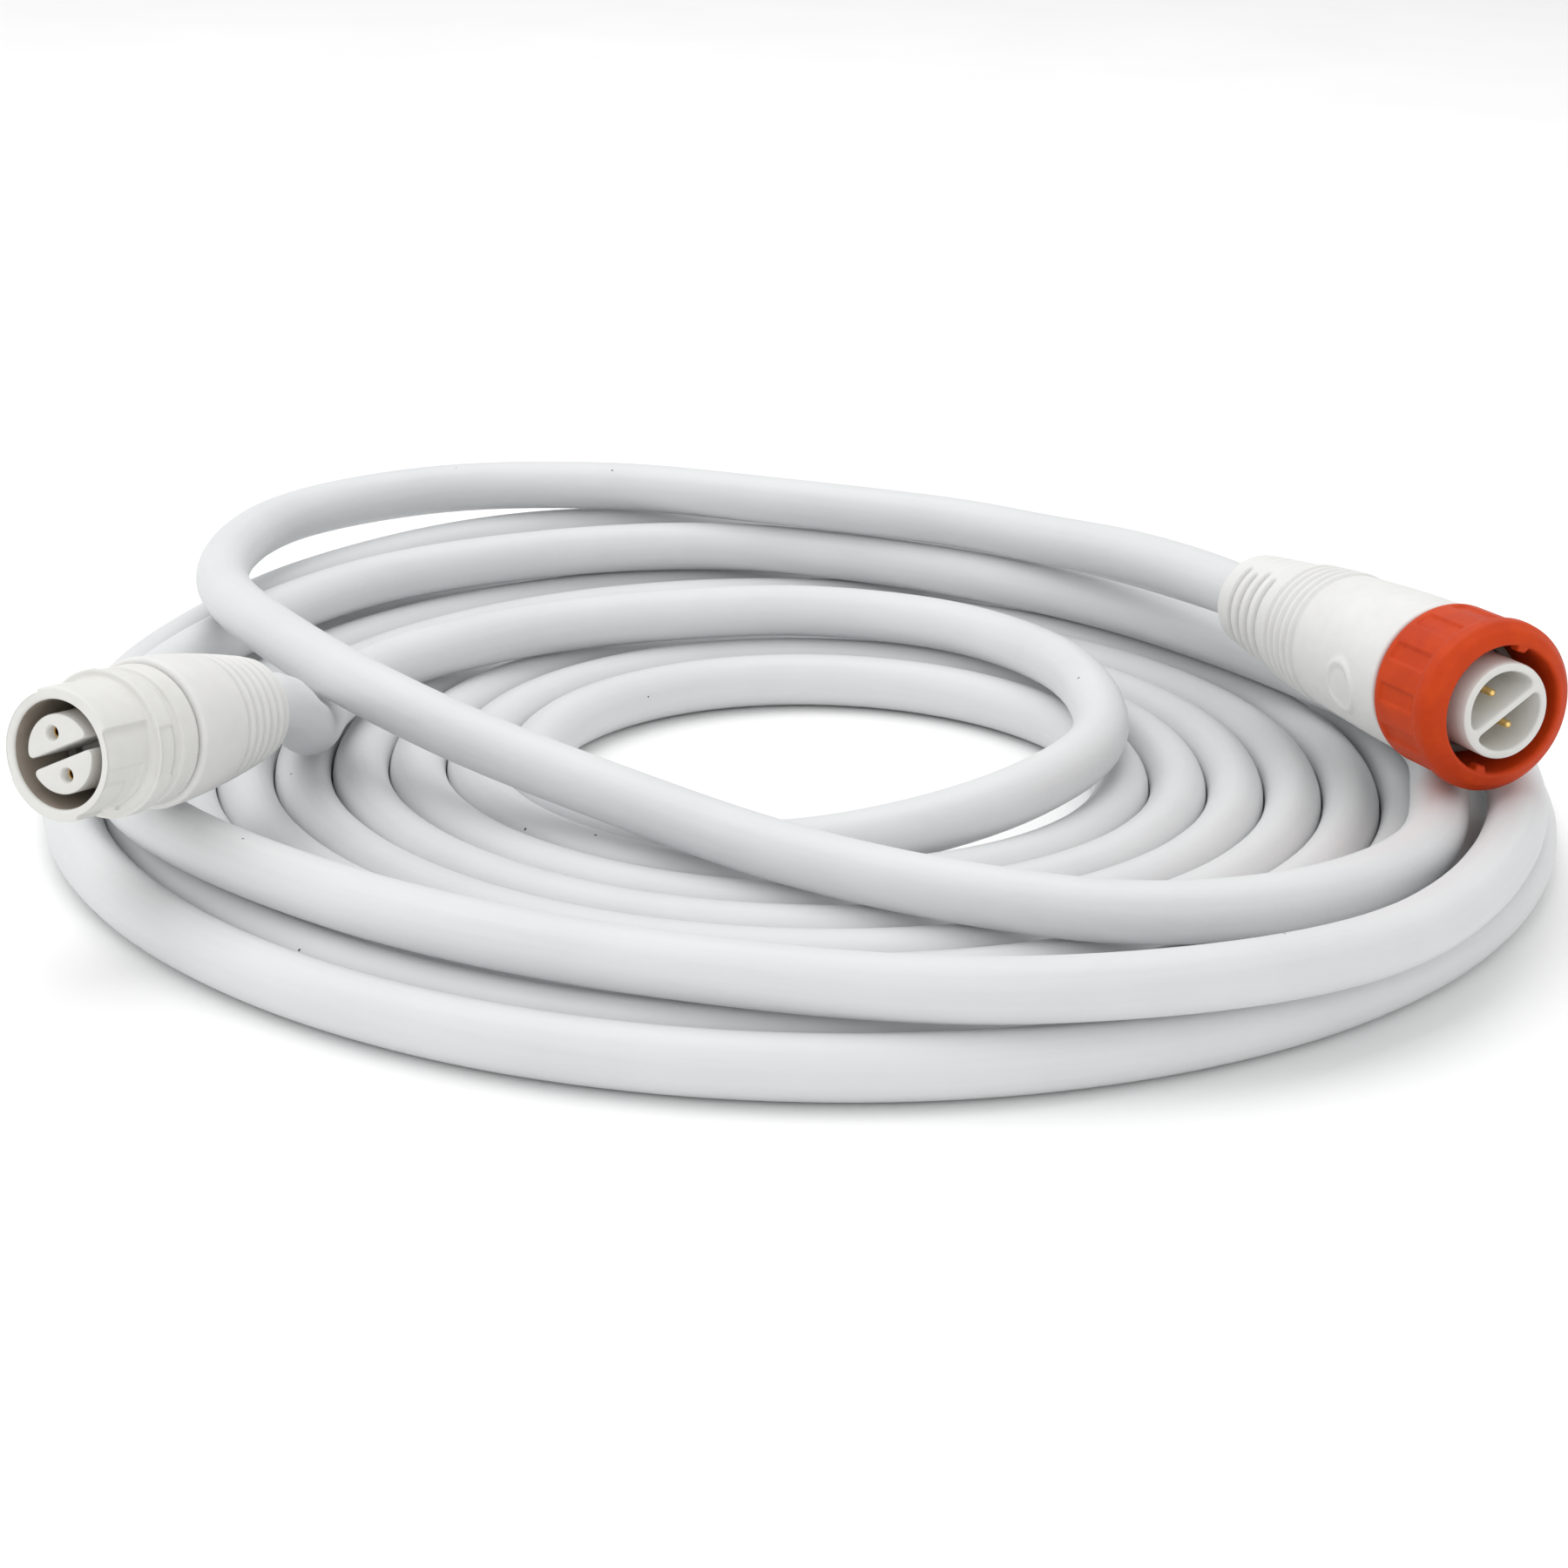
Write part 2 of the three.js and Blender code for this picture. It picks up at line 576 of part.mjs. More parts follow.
// From the plug along the back, round the left, across the coil, and twice more round on top of it.
const plugRun = [
  plugExit.clone().addScaledVector(plugForward, -FIT_GAP),
  plugExit.clone().addScaledVector(plugForward, -exitRun),
  place(6.1, 6.25, 2.3),
  place(4.6, 8.2, 2.05),
  place(2.9, 9.5, 2.0),
  place(-0.7, 10.85, 2.0),
  place(-4.3, 11.8, 2.0),
  place(-7.8, 11.2, 2.0),
  place(-10.6, 8.6, 2.0),
  place(-11.1, 4.3, 2.05),
  place(-9.0, -0.3, 2.15),
  place(-6.15, -2.95, 1.68),
  place(-3.05, -4.8, 1.17),
  place(-0.3, -6.8, 1.02),
  place(2.4, -8.2, 1.0),
  place(5.0, -8.8, 1.0),
  place(7.6, -8.05, 1.0),
  place(9.55, -6.15, 1.0),
  place(10.45, -3.2, 1.0),
  placeRound(0, 10.6, 1.0),
  placeRound(33, 9.3, 1.0),
  placeRound(66, 9.6, 1.0),
  placeRound(102, 11.15, 1.0),
  placeRound(138, 11.7, 1.0),
  placeRound(180, 12.0, 1.0),
  placeRound(204, 12.05, 1.0),
  placeRound(230, 11.4, 1.0),
  placeRound(258, 11.35, 1.0),
  placeRound(285, 12.2, 1.0),
  placeRound(312, 12.9, 1.0),
  placeRound(343, 12.2, 1.0),
  placeRound(380, 11.55, 1.0),
  placeRound(415, 11.35, 1.0),
  placeRound(450, 12.05, 1.0),
  placeRound(478, 12.98, 0.97),
  placeRound(500, 13.15, 0.76),
  placeRound(520, 13.1, 0.42),
  coilPoint(-14).setZ(cordRadius + 0.18 * layerRise),
  coilPoint(-4).setZ(cordRadius + 0.02 * layerRise),
  coilPoint(-outerGap),
];

// From the innermost turn up on to the coil, once round it, and under the crossing to the socket.
const socketRun = [
  coilPoint(innerEnd + innerGap),
  coilPoint(innerEnd + 5),
  coilPoint(innerEnd + 22).setZ(cordRadius + 0.02 * layerRise),
  placeRound(240, 4.72, 0.1),
  placeRound(265, 4.67, 0.3),
  placeRound(290, 4.72, 0.62),
  placeRound(315, 4.86, 0.9),
  placeRound(345, 5.0, 1.0),
  placeRound(12, 5.2, 1.0),
  placeRound(38, 5.72, 1.0),
  placeRound(64, 6.2, 1.0),
  placeRound(90, 6.42, 1.0),
  placeRound(112, 6.5, 1.0),
  place(-5.45, 4.65, 1.0),
  place(-7.95, 2.1, 1.0),
  place(-8.55, 0.1, 1.0),
  place(-8.6, -1.4, 1.1),
  place(-8.58, -2.7, 1.6),
  socketExit.clone().addScaledVector(socketForward, -0.7 * CORD_DIAMETER),
  socketExit.clone().addScaledVector(socketForward, -FIT_GAP),
];

// ---------------------------------------------------------------- the whole cord set

const group = new THREE.Group();
group.add(plugGroup, socketGroup);
group.add(named('cord_coil', buildCoil(), finish.jacket()));
group.add(named('cord_plug_run', bent(plugRun, cordRadius, 10, 72), finish.jacket()));
group.add(named('cord_socket_run', bent(socketRun, cordRadius, 10, 24), finish.jacket()));

// The origin is the middle of the floor that the whole set covers.
group.updateMatrixWorld(true);
const extent = new THREE.Box3().setFromObject(group, true);
const middle = extent.getCenter(new THREE.Vector3());
group.position.set(-middle.x, -middle.y, -extent.min.z);

export default group;
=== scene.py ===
# %% [markdown]
# # A coiled extension cord with two round connectors
# A two-core cord lies in a flat spiral on the floor, with a few looser turns thrown on top. One end
# is a moulded plug with an orange bayonet ring, the other a moulded inline socket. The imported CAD
# model is the fixed frame: it gives every place, and this file gives the looks.

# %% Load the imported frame
import json
import math

import bpy
import numpy as np
from mathutils import Matrix, Vector, geometry


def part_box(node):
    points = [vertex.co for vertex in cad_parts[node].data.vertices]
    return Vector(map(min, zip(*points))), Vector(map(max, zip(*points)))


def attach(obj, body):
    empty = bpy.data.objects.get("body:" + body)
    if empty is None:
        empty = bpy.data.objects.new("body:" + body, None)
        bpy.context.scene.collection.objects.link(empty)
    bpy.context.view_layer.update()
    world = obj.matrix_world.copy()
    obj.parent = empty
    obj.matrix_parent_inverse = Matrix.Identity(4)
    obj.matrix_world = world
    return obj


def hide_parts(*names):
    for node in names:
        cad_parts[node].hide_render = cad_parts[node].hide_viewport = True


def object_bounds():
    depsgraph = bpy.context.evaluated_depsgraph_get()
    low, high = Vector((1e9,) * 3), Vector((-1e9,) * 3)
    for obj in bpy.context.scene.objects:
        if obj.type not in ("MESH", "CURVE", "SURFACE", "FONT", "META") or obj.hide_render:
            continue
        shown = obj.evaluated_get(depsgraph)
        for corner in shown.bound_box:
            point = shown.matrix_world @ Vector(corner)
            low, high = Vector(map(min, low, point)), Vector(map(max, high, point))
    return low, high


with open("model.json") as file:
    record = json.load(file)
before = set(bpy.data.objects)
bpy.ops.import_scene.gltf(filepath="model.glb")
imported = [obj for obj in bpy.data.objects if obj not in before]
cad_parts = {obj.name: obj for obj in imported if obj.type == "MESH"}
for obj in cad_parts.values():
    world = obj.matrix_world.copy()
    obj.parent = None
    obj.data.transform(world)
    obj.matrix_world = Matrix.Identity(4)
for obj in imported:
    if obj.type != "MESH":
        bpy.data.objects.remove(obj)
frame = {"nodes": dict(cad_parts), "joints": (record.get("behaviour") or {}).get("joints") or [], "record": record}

MM = 0.001
CORD_BODY = "cord_set"
RING_BODY = "ring"
cad_box = [list(corner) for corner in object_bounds()]
print("CAD box in metres:", cad_box)

# %% [markdown]
# ## Where things lie
# The cord's route was chosen in turn pitches, measured from the middle of the coil, so the first job
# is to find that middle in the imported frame. The coil's CAD solid is the spiral's outline, so the
# outline is worked out again here and the two boxes are laid on each other.

# %% Sizes that the route is built from, in metres
CORD_DIAMETER = 8.8 * MM
PITCH = 9.0 * MM
LAYER_RISE = 9.1 * MM
COIL_SKIN = 0.9 * MM
COIL_TURNS = 8
COIL_START = 187.0
COIL_OUTER_TURN = 12.93
COIL_DRIFT = 0.34
CORD_RADIUS = CORD_DIAMETER / 2


def coil_centre_line(travelled):
    """Spiral by angle travelled in degrees: the radius falls by one pitch a turn from the outermost
    turn's, and the centre drifts forward in step. Returns x, y, z rows about the coil's middle."""
    turns = np.asarray(travelled, float) / 360
    angle = np.radians(COIL_START + np.asarray(travelled, float))
    radius = (COIL_OUTER_TURN - turns) * PITCH
    drift = COIL_DRIFT * PITCH * (1 - turns / COIL_TURNS)
    height = np.full_like(radius, CORD_RADIUS)
    return np.stack([radius * np.cos(angle), radius * np.sin(angle) + drift, height], axis=-1)


edge_travel = np.linspace(0, 360, 73)
edge_angle = np.radians(COIL_START + edge_travel)
edge = coil_centre_line(edge_travel)[:, :2]
edge = edge + (CORD_RADIUS - COIL_SKIN) * np.stack([np.cos(edge_angle), np.sin(edge_angle)], axis=-1)
coil_low, coil_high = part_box("cord_coil")
coil_middle = np.array([
    (coil_low.x + coil_high.x - edge[:, 0].min() - edge[:, 0].max()) / 2,
    (coil_low.y + coil_high.y - edge[:, 1].min() - edge[:, 1].max()) / 2,
    coil_low.z,
])
print("coil middle in mm:", (coil_middle / MM).round(2))


# %% [markdown]
# Each connector has a frame of its own: its origin where the cord enters, its Z towards the mating
# face, and its Y as upright as it can be. The record's ring joint and socket mount give both. The
# connectors' own sizes are in millimetres, measured from where the cord enters.

# %% Frames of the two connectors
def upright_frame(origin, forward):
    """4 by 4 matrix whose Z is forward, whose X is level and whose Y is the upright left over."""
    forward = Vector(forward).normalized()
    level = Vector((0, 0, 1)).cross(forward).normalized()
    upright = forward.cross(level)
    matrix = Matrix((level, upright, forward)).transposed().to_4x4()
    matrix.translation = Vector(origin)
    return np.array(matrix)


PLUG_GRIP_LENGTH = 52.0
SOCKET_GRIP_LENGTH = 24.0
STOP_LENGTH = 8.7
BARREL_LENGTH = 9.0
PART_GAP = 0.3
RIM_MOUNT_RADIUS = 8.1
SOCKET_FRONT = SOCKET_GRIP_LENGTH + PART_GAP + STOP_LENGTH + BARREL_LENGTH

ring_joint = frame["joints"][0]
plug_forward = np.array(ring_joint["axis"], float)
plug_exit = np.array(ring_joint["pos_m"], float) - plug_forward * (PLUG_GRIP_LENGTH + PART_GAP) * MM
plug_frame = upright_frame(plug_exit, plug_forward)

rim_mount = next(m for m in frame["record"]["mounts"] if m["name"] == "socket_mouth_rim")
socket_forward = np.array(rim_mount["axis"], float)
rim_upright = upright_frame((0, 0, 0), socket_forward)[:3, 1]
socket_exit = np.array(rim_mount["pos_m"], float) - rim_upright * RIM_MOUNT_RADIUS * MM
socket_exit = socket_exit - socket_forward * SOCKET_FRONT * MM
socket_frame = upright_frame(socket_exit, socket_forward)
print("plug enters at mm", (plug_exit / MM).round(1), "socket at mm", (socket_exit / MM).round(1))

# %% [markdown]
# ## Camera
# A long lens stands low in front of the coil, so that the flat spiral shows as a wide ellipse. It is
# set from an elevation, a distance from a point near the coil's middle, and a slight roll.

# %% Camera
CAMERA_LENS = 72.96
CAMERA_ELEVATION = math.radians(19.964)
CAMERA_ROLL = math.radians(1.279)
CAMERA_DISTANCE = 57.054 * PITCH
camera_target = Vector(coil_middle) + Vector((-0.475 * PITCH, 0.626 * PITCH, 0))

camera_data = bpy.data.cameras.new("camera")
camera_data.lens = CAMERA_LENS
camera_data.sensor_width = 36
camera_data.clip_start = 0.01
camera_data.clip_end = 20
camera = bpy.data.objects.new("camera", camera_data)
bpy.context.scene.collection.objects.link(camera)
camera_back = Vector((0, -math.cos(CAMERA_ELEVATION), math.sin(CAMERA_ELEVATION)))
camera_level = Vector((1, 0, 0))
camera_rise = camera_back.cross(camera_level)
camera_right = camera_level * math.cos(CAMERA_ROLL) + camera_rise * math.sin(CAMERA_ROLL)
camera_up = camera_back.cross(camera_right)
camera_matrix = Matrix((camera_right, camera_up, camera_back)).transposed().to_4x4()
camera_matrix.translation = camera_target + camera_back * CAMERA_DISTANCE
camera.matrix_world = camera_matrix
bpy.context.scene.camera = camera
print("camera at", tuple(round(v, 3) for v in camera_matrix.translation))


# %% [markdown]
# ## The cord
# A cord is one round bar bent along a smooth line. It could be a curve object with a round bevel, or
# a mesh swept by hand. The sweep is used, because a mesh carries its own UV map, which the jacket's
# fine streaks follow. The line runs from the plug, round and across the top of the coil, down
# into the spiral, in to the innermost turn, and back up and over to the socket.

# %% Points of the route
def place(x, y, layer):
    """A point from pitches across and back from the coil's middle, and layers of cord up."""
    return (x * PITCH, y * PITCH, CORD_RADIUS + layer * LAYER_RISE)


def place_round(degrees, radius, layer):
    """The same from an angle and a radius in pitches."""
    angle = math.radians(degrees)
    return place(radius * math.cos(angle), radius * math.sin(angle), layer)


plug_run_points = [
    place(6.1, 6.25, 2.3),
    place(4.6, 8.2, 2.05),
    place(2.9, 9.5, 2.0),
    place(-0.7, 10.85, 2.0),
    place(-4.3, 11.8, 2.0),
    place(-7.8, 11.2, 2.0),
    place(-10.6, 8.6, 2.0),
    place(-11.1, 4.3, 2.05),
    place(-9.0, -0.3, 2.15),
    place(-6.15, -2.95, 1.68),
    place(-3.05, -4.8, 1.17),
    place(-0.3, -6.8, 1.02),
    place(2.4, -8.2, 1.0),
    place(5.0, -8.8, 1.0),
    place(7.6, -8.05, 1.0),
    place(9.55, -6.15, 1.0),
    place(10.45, -3.2, 1.0),
    place_round(0, 10.6, 1.0),
    place_round(33, 9.3, 1.0),
    place_round(66, 9.6, 1.0),
    place_round(102, 11.15, 1.0),
    place_round(138, 11.7, 1.0),
    place_round(180, 12.0, 1.0),
    place_round(204, 12.05, 1.0),
    place_round(230, 11.4, 1.0),
    place_round(258, 11.35, 1.0),
    place_round(285, 12.2, 1.0),
    place_round(312, 12.9, 1.0),
    place_round(343, 12.2, 1.0),
    place_round(380, 11.55, 1.0),
    place_round(415, 11.35, 1.0),
    place_round(450, 12.05, 1.0),
    place_round(478, 12.98, 0.97),
    place_round(500, 13.15, 0.76),
    place_round(520, 13.1, 0.42),
]
socket_run_points = [
    place_round(240, 4.72, 0.1),
    place_round(265, 4.67, 0.3),
    place_round(290, 4.72, 0.62),
    place_round(315, 4.86, 0.9),
    place_round(345, 5.0, 1.0),
    place_round(12, 5.2, 1.0),
    place_round(38, 5.72, 1.0),
    place_round(64, 6.2, 1.0),
    place_round(90, 6.42, 1.0),
    place_round(112, 6.5, 1.0),
    place(-5.45, 4.65, 1.0),
    place(-7.95, 2.1, 1.0),
    place(-8.55, 0.1, 1.0),
    place(-8.6, -1.4, 1.1),
    place(-8.58, -2.7, 1.6),
]
POINTS_A_TURN = 24
coil_travel = np.linspace(0, COIL_TURNS * 360, COIL_TURNS * POINTS_A_TURN + 1)
coil_points = coil_centre_line(coil_travel)
landing = coil_centre_line([-14.0, -4.0])
landing[:, 2] += np.array([0.18, 0.02]) * LAYER_RISE
leaving = coil_centre_line([COIL_TURNS * 360 + 5.0, COIL_TURNS * 360 + 22.0])
leaving[:, 2] += np.array([0.0, 0.02]) * LAYER_RISE

EXIT_RUN = 1.4 * CORD_DIAMETER
INSIDE_GRIP = 1.5 * MM
route = np.vstack([
    plug_exit + plug_forward * INSIDE_GRIP,
    plug_exit - plug_forward * EXIT_RUN,
    np.array(plug_run_points) + coil_middle,
    landing + coil_middle,
    coil_points + coil_middle,
    leaving + coil_middle,
    np.array(socket_run_points) + coil_middle,
    socket_exit - socket_forward * 0.7 * CORD_DIAMETER,
    socket_exit + socket_forward * INSIDE_GRIP,
])
print("route points:", len(route))


# %% [markdown]
# The real cord bends evenly between any two places where it is held, so a smooth line goes through
# the route's points. A Bezier curve would do, but its handles are hard to set well on uneven points.
# The centripetal Catmull-Rom line needs no handles and makes no loops.

# %% Smooth line through the points
def smooth_line(points, per_span):
    """Centripetal Catmull-Rom: between two points the line is a cubic whose end slopes come from the
    neighbours, each weighed by the square root of the distance to it."""
    ends = np.vstack([2 * points[0] - points[1], points, 2 * points[-1] - points[-2]])
    p0, p1, p2, p3 = ends[:-3], ends[1:-2], ends[2:-1], ends[3:]
    d0 = np.linalg.norm(p1 - p0, axis=1, keepdims=True) ** 0.5
    d1 = np.linalg.norm(p2 - p1, axis=1, keepdims=True) ** 0.5
    d2 = np.linalg.norm(p3 - p2, axis=1, keepdims=True) ** 0.5
    slope1 = ((p1 - p0) / d0 - (p2 - p0) / (d0 + d1) + (p2 - p1) / d1) * d1
    slope2 = ((p2 - p1) / d1 - (p3 - p1) / (d1 + d2) + (p3 - p2) / d2) * d1
    t = np.linspace(0, 1, per_span, endpoint=False)[None, :, None]
    p1, p2, slope1, slope2 = p1[:, None], p2[:, None], slope1[:, None], slope2[:, None]
    bend2 = -3 * p1 + 3 * p2 - 2 * slope1 - slope2
    bend3 = 2 * p1 - 2 * p2 + slope1 + slope2
    spans = p1 + slope1 * t + bend2 * t**2 + bend3 * t**3
    return np.vstack([spans.reshape(-1, 3), points[-1]])


def evenly_spaced(line, spacing):
    """The line's points moved to equal distances along it. Returns the points and their distances."""
    along = np.concatenate([[0], np.cumsum(np.linalg.norm(np.diff(line, axis=0), axis=1))])
    wanted = np.linspace(0, along[-1], int(round(along[-1] / spacing)) + 1)
    return np.stack([np.interp(wanted, along, line[:, axis]) for axis in range(3)], axis=1), wanted


LINE_STEPS = 24
RING_SPACING = 3.6 * MM
cord_line, cord_along = evenly_spaced(smooth_line(route, LINE_STEPS), RING_SPACING)


# %% [markdown]
# Every surface below is a grid of points. One helper turns such a grid into a mesh: it joins
# neighbouring rows and columns with four-sided faces, closes the grid round its columns, and either
# caps the first and last rows or joins them to each other.

# %% From a grid of points to a mesh
def mesh_object(name, vertices, faces):
    """A smooth-shaded mesh object at the origin from vertex rows in metres and face index lists."""
    data = bpy.data.meshes.new(name)
    data.from_pydata(np.asarray(vertices, float).tolist(), [], faces)
    data.polygons.foreach_set("use_smooth", np.full(len(data.polygons), True))
    data.update()
    piece = bpy.data.objects.new(name, data)
    bpy.context.scene.collection.objects.link(piece)
    return piece


def grid_faces(rows, columns, close_rows=False):
    """Four-sided faces of a grid that is closed round its columns. With close_rows the last row also
    joins the first, as in a ring-shaped solid."""
    row_count = rows if close_rows else rows - 1
    row = np.arange(row_count)[:, None]
    column = np.arange(columns)[None, :]
    next_row = (row + 1) % rows
    next_column = (column + 1) % columns
    corners = np.stack([
        np.broadcast_to(row * columns + column, (row_count, columns)),
        row * columns + next_column,
        next_row * columns + next_column,
        np.broadcast_to(next_row * columns + column, (row_count, columns)),
    ], axis=-1)
    return corners.reshape(-1, 4).tolist()


def carried(points, matrix):
    """Points taken from a connector's own frame into the row frame."""
    return points @ matrix[:3, :3].T + matrix[:3, 3]


def finish_piece(piece, body, material, replaced=()):
    """Gives a piece its material, its body and the CAD nodes that it stands for."""
    piece.data.materials.append(material)
    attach(piece, body)
    if replaced:
        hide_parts(*replaced)
    print(f"{piece.name}: {len(piece.data.polygons)} faces")
    return piece


# %% [markdown]
# ## Finishes
# A finish is a set of shader nodes. Written as wires that can be added and multiplied, the sums in it
# read like sums, and every other node comes from one call.

# %% Wires and finishes
class Wire:
    """One value on its way through a finish. Sums on it add Math nodes."""

    def __init__(self, finish, socket):
        self.finish = finish
        self.socket = socket

    def _sum(self, operation, left, right):
        return self.finish.node("ShaderNodeMath", {0: left, 1: right}, {"operation": operation})

    def __add__(self, other):
        return self._sum("ADD", self, other)

    def __radd__(self, other):
        return self._sum("ADD", other, self)

    def __sub__(self, other):
        return self._sum("SUBTRACT", self, other)

    def __rsub__(self, other):
        return self._sum("SUBTRACT", other, self)

    def __mul__(self, other):
        return self._sum("MULTIPLY", self, other)

    def __rmul__(self, other):
        return self._sum("MULTIPLY", other, self)

    def __lt__(self, other):
        return self._sum("LESS_THAN", self, other)


class Finish:
    """A material under construction: its shader's plain values, then its wires."""

    def __init__(self, name, plain):
        self.material = bpy.data.materials.new(name)
        self.material.use_nodes = True
        self.tree = self.material.node_tree
        self.shader = self.tree.nodes["Principled BSDF"]
        for socket, value in plain.items():
            self.shader.inputs[socket].default_value = value

    def node(self, kind, inputs=None, settings=None, stops=None, output=0):
        """Adds a node: first its settings and colour stops, then values or wires on its sockets."""
        made = self.tree.nodes.new(kind)
        for name, value in (settings or {}).items():
            setattr(made, name, value)
        if stops:
            ramp = made.color_ramp
            ramp.elements[0].position, ramp.elements[0].color = stops[0]
            ramp.elements[1].position, ramp.elements[1].color = stops[-1]
            for position, color in stops[1:-1]:
                ramp.elements.new(position).color = color
        for socket, value in (inputs or {}).items():
            self.feed(value, made.inputs[socket])
        return Wire(self, made.outputs[output])

    def feed(self, value, socket):
        """Puts a wire or a plain value on a socket."""
        if isinstance(value, Wire):
            self.tree.links.new(value.socket, socket)
        else:
            socket.default_value = value

    def surface(self, **wires):
        """Feeds the shader itself, with a socket's spaces written as underscores."""
        for name, wire in wires.items():
            self.feed(wire, self.shader.inputs[name.replace("_", " ")])

    def place_on_object(self):
        """Coordinates in metres, fixed to the piece."""
        return self.node("ShaderNodeTexCoord", output="Object")

    def noise(self, where, scale, detail=3.0, roughness=0.5):
        """Cloudy value from 0 to 1, with so many clouds to the metre."""
        return self.node(
            "ShaderNodeTexNoise",
            {"Vector": where, "Scale": scale, "Detail": detail, "Roughness": roughness},
            output="Fac",
        )

    def blend_colours(self, share, first, second):
        """Colour between two, by a share from 0 to 1."""
        inputs = {0: share, 6: first, 7: second}
        return self.node("ShaderNodeMix", inputs, {"data_type": "RGBA"}, output=2)

    def bump(self, height, depth, strength=1.0, under=None):
        """Surface tilt from a height value, with its depth in metres."""
        inputs = {"Height": height, "Distance": depth, "Strength": strength}
        if under is not None:
            inputs["Normal"] = under
        return self.node("ShaderNodeBump", inputs)


# %% [markdown]
# The jacket is smooth extruded PVC. It is nearly one grey-white, but it has faint clouds, fine
# streaks drawn along the cable by the die, a few dark specks, and a satin surface that is nowhere
# perfectly even. The streaks follow the piece's UV map, the rest sits in the object's own space.

# %% Jacket finish
def jacket_finish():
    finish = Finish("jacket_pvc", {"Specular IOR Level": 0.42})
    where = finish.place_on_object()
    along = finish.node("ShaderNodeTexCoord", output="UV")
    drawn = finish.node("ShaderNodeMapping", {"Vector": along, "Scale": (26.0, 0.8, 1.0)})
    clouds = finish.noise(where, 38, detail=4)
    streaks = finish.noise(drawn, 1.0, detail=2)
    tone = clouds * 0.7 + streaks * 0.3
    ramp_stops = [
        (0.30, (0.630, 0.642, 0.652, 1)),
        (0.52, (0.668, 0.678, 0.685, 1)),
        (0.72, (0.694, 0.701, 0.706, 1)),
    ]
    clean = finish.node("ShaderNodeValToRGB", {"Fac": tone}, stops=ramp_stops)
    cells = finish.node("ShaderNodeTexVoronoi", {"Vector": where, "Scale": 92.0}, output="Distance")
    specks = cells < 0.022
    colour = finish.blend_colours(specks, clean, (0.10, 0.09, 0.085, 1))
    fine = finish.noise(where, 1400, detail=2)
    dents = finish.noise(where, 170, detail=2)
    tilt = finish.bump(dents, 0.00012, under=finish.bump(fine + streaks * 0.6, 0.00002))
    finish.surface(Base_Color=colour, Roughness=0.36 + clouds * 0.12 + fine * 0.05, Normal=tilt)
    return finish.material


# %% [markdown]
# The connectors' soft mouldings and hard shells are a warmer white than the jacket. The moulding has
# a fine spark-eroded texture from its tool and is matt, the hard plastic is smoother.

# %% Moulding and hard plastic finishes
def plastic_finish(name, light, dark, roughness, grain, grain_depth, shine=0.4):
    """Moulded plastic: clouds between two close colours, a fine tool texture and slight flow waves."""
    finish = Finish(name, {"Specular IOR Level": shine})
    where = finish.place_on_object()
    clouds = finish.noise(where, 120, detail=4, roughness=0.6)
    waves = finish.noise(where, 420, detail=1)
    tool = finish.noise(where, grain, detail=3, roughness=0.65)
    colour = finish.node(
        "ShaderNodeValToRGB", {"Fac": clouds * 0.75 + waves * 0.25}, stops=[(0.32, dark), (0.68, light)]
    )
    tilt = finish.bump(waves, 0.00004, under=finish.bump(tool, grain_depth))
    finish.surface(Base_Color=colour, Roughness=roughness + clouds * 0.10 + tool * 0.06, Normal=tilt)
    return finish.material


jacket = jacket_finish()
moulding = plastic_finish(
    "moulding_white", (0.755, 0.752, 0.738, 1), (0.705, 0.701, 0.685, 1), 0.44, 2600, 0.00003)
hard_white = plastic_finish(
    "hard_white", (0.735, 0.732, 0.706, 1), (0.680, 0.676, 0.646, 1), 0.36, 1500, 0.00001)
ring_orange = plastic_finish(
    "ring_orange", (0.590, 0.054, 0.002, 1), (0.480, 0.036, 0.002, 1), 0.46, 1900, 0.00002, shine=0.22)
# Painted shade: cavity_shade is a darker brown-grey for the socket's bore, in place of the shadow deep in the
# barrel.
cavity_shade = plastic_finish(
    "cavity_shade", (0.400, 0.350, 0.295, 1), (0.290, 0.248, 0.205, 1), 0.55, 1500, 0.00002)
seal_grey = plastic_finish(
    "seal_grey", (0.235, 0.225, 0.210, 1), (0.170, 0.162, 0.150, 1), 0.62, 2200, 0.00003)
core_brown = plastic_finish(
    "core_brown", (0.150, 0.052, 0.020, 1), (0.120, 0.040, 0.016, 1), 0.40, 1800, 0.00001)
core_blue = plastic_finish(
    "core_blue", (0.026, 0.110, 0.340, 1), (0.020, 0.090, 0.290, 1), 0.40, 1800, 0.00001)


# %% [markdown]
# The contacts are turned brass with a thin gold plating: a bright metal with fine turning marks. The
# conductors are bare copper strands, which the marks stand for as well.

# %% Metal finishes
def turned_metal_finish(name, bright, dull, marks):
    """Metal whose roughness and tone change in fine rings, as many to the metre as marks."""
    finish = Finish(name, {"Metallic": 1.0})
    where = finish.place_on_object()
    clouds = finish.noise(where, 500, detail=3)
    rings = finish.noise(where, marks, detail=1)
    colour = finish.blend_colours(clouds, bright, dull)
    finish.surface(Base_Color=colour, Roughness=0.16 + rings * 0.16, Normal=finish.bump(rings, 0.00001))
    return finish.material


contact_gold = turned_metal_finish("contact_gold", (1.0, 0.700, 0.270, 1), (0.86, 0.56, 0.20, 1), 3200)
bare_copper = turned_metal_finish("bare_copper", (0.86, 0.44, 0.26, 1), (0.70, 0.33, 0.18, 1), 4200)
print("finishes:", len(bpy.data.materials))

# %% [markdown]
# The sweep needs a level sideways direction at each point of the line. The cord never stands upright,
# so the sideways direction is the world's up crossed with the line's own direction, and no twist
# builds up along it.

# %% Sweep the cord
CORD_SIDES = 24


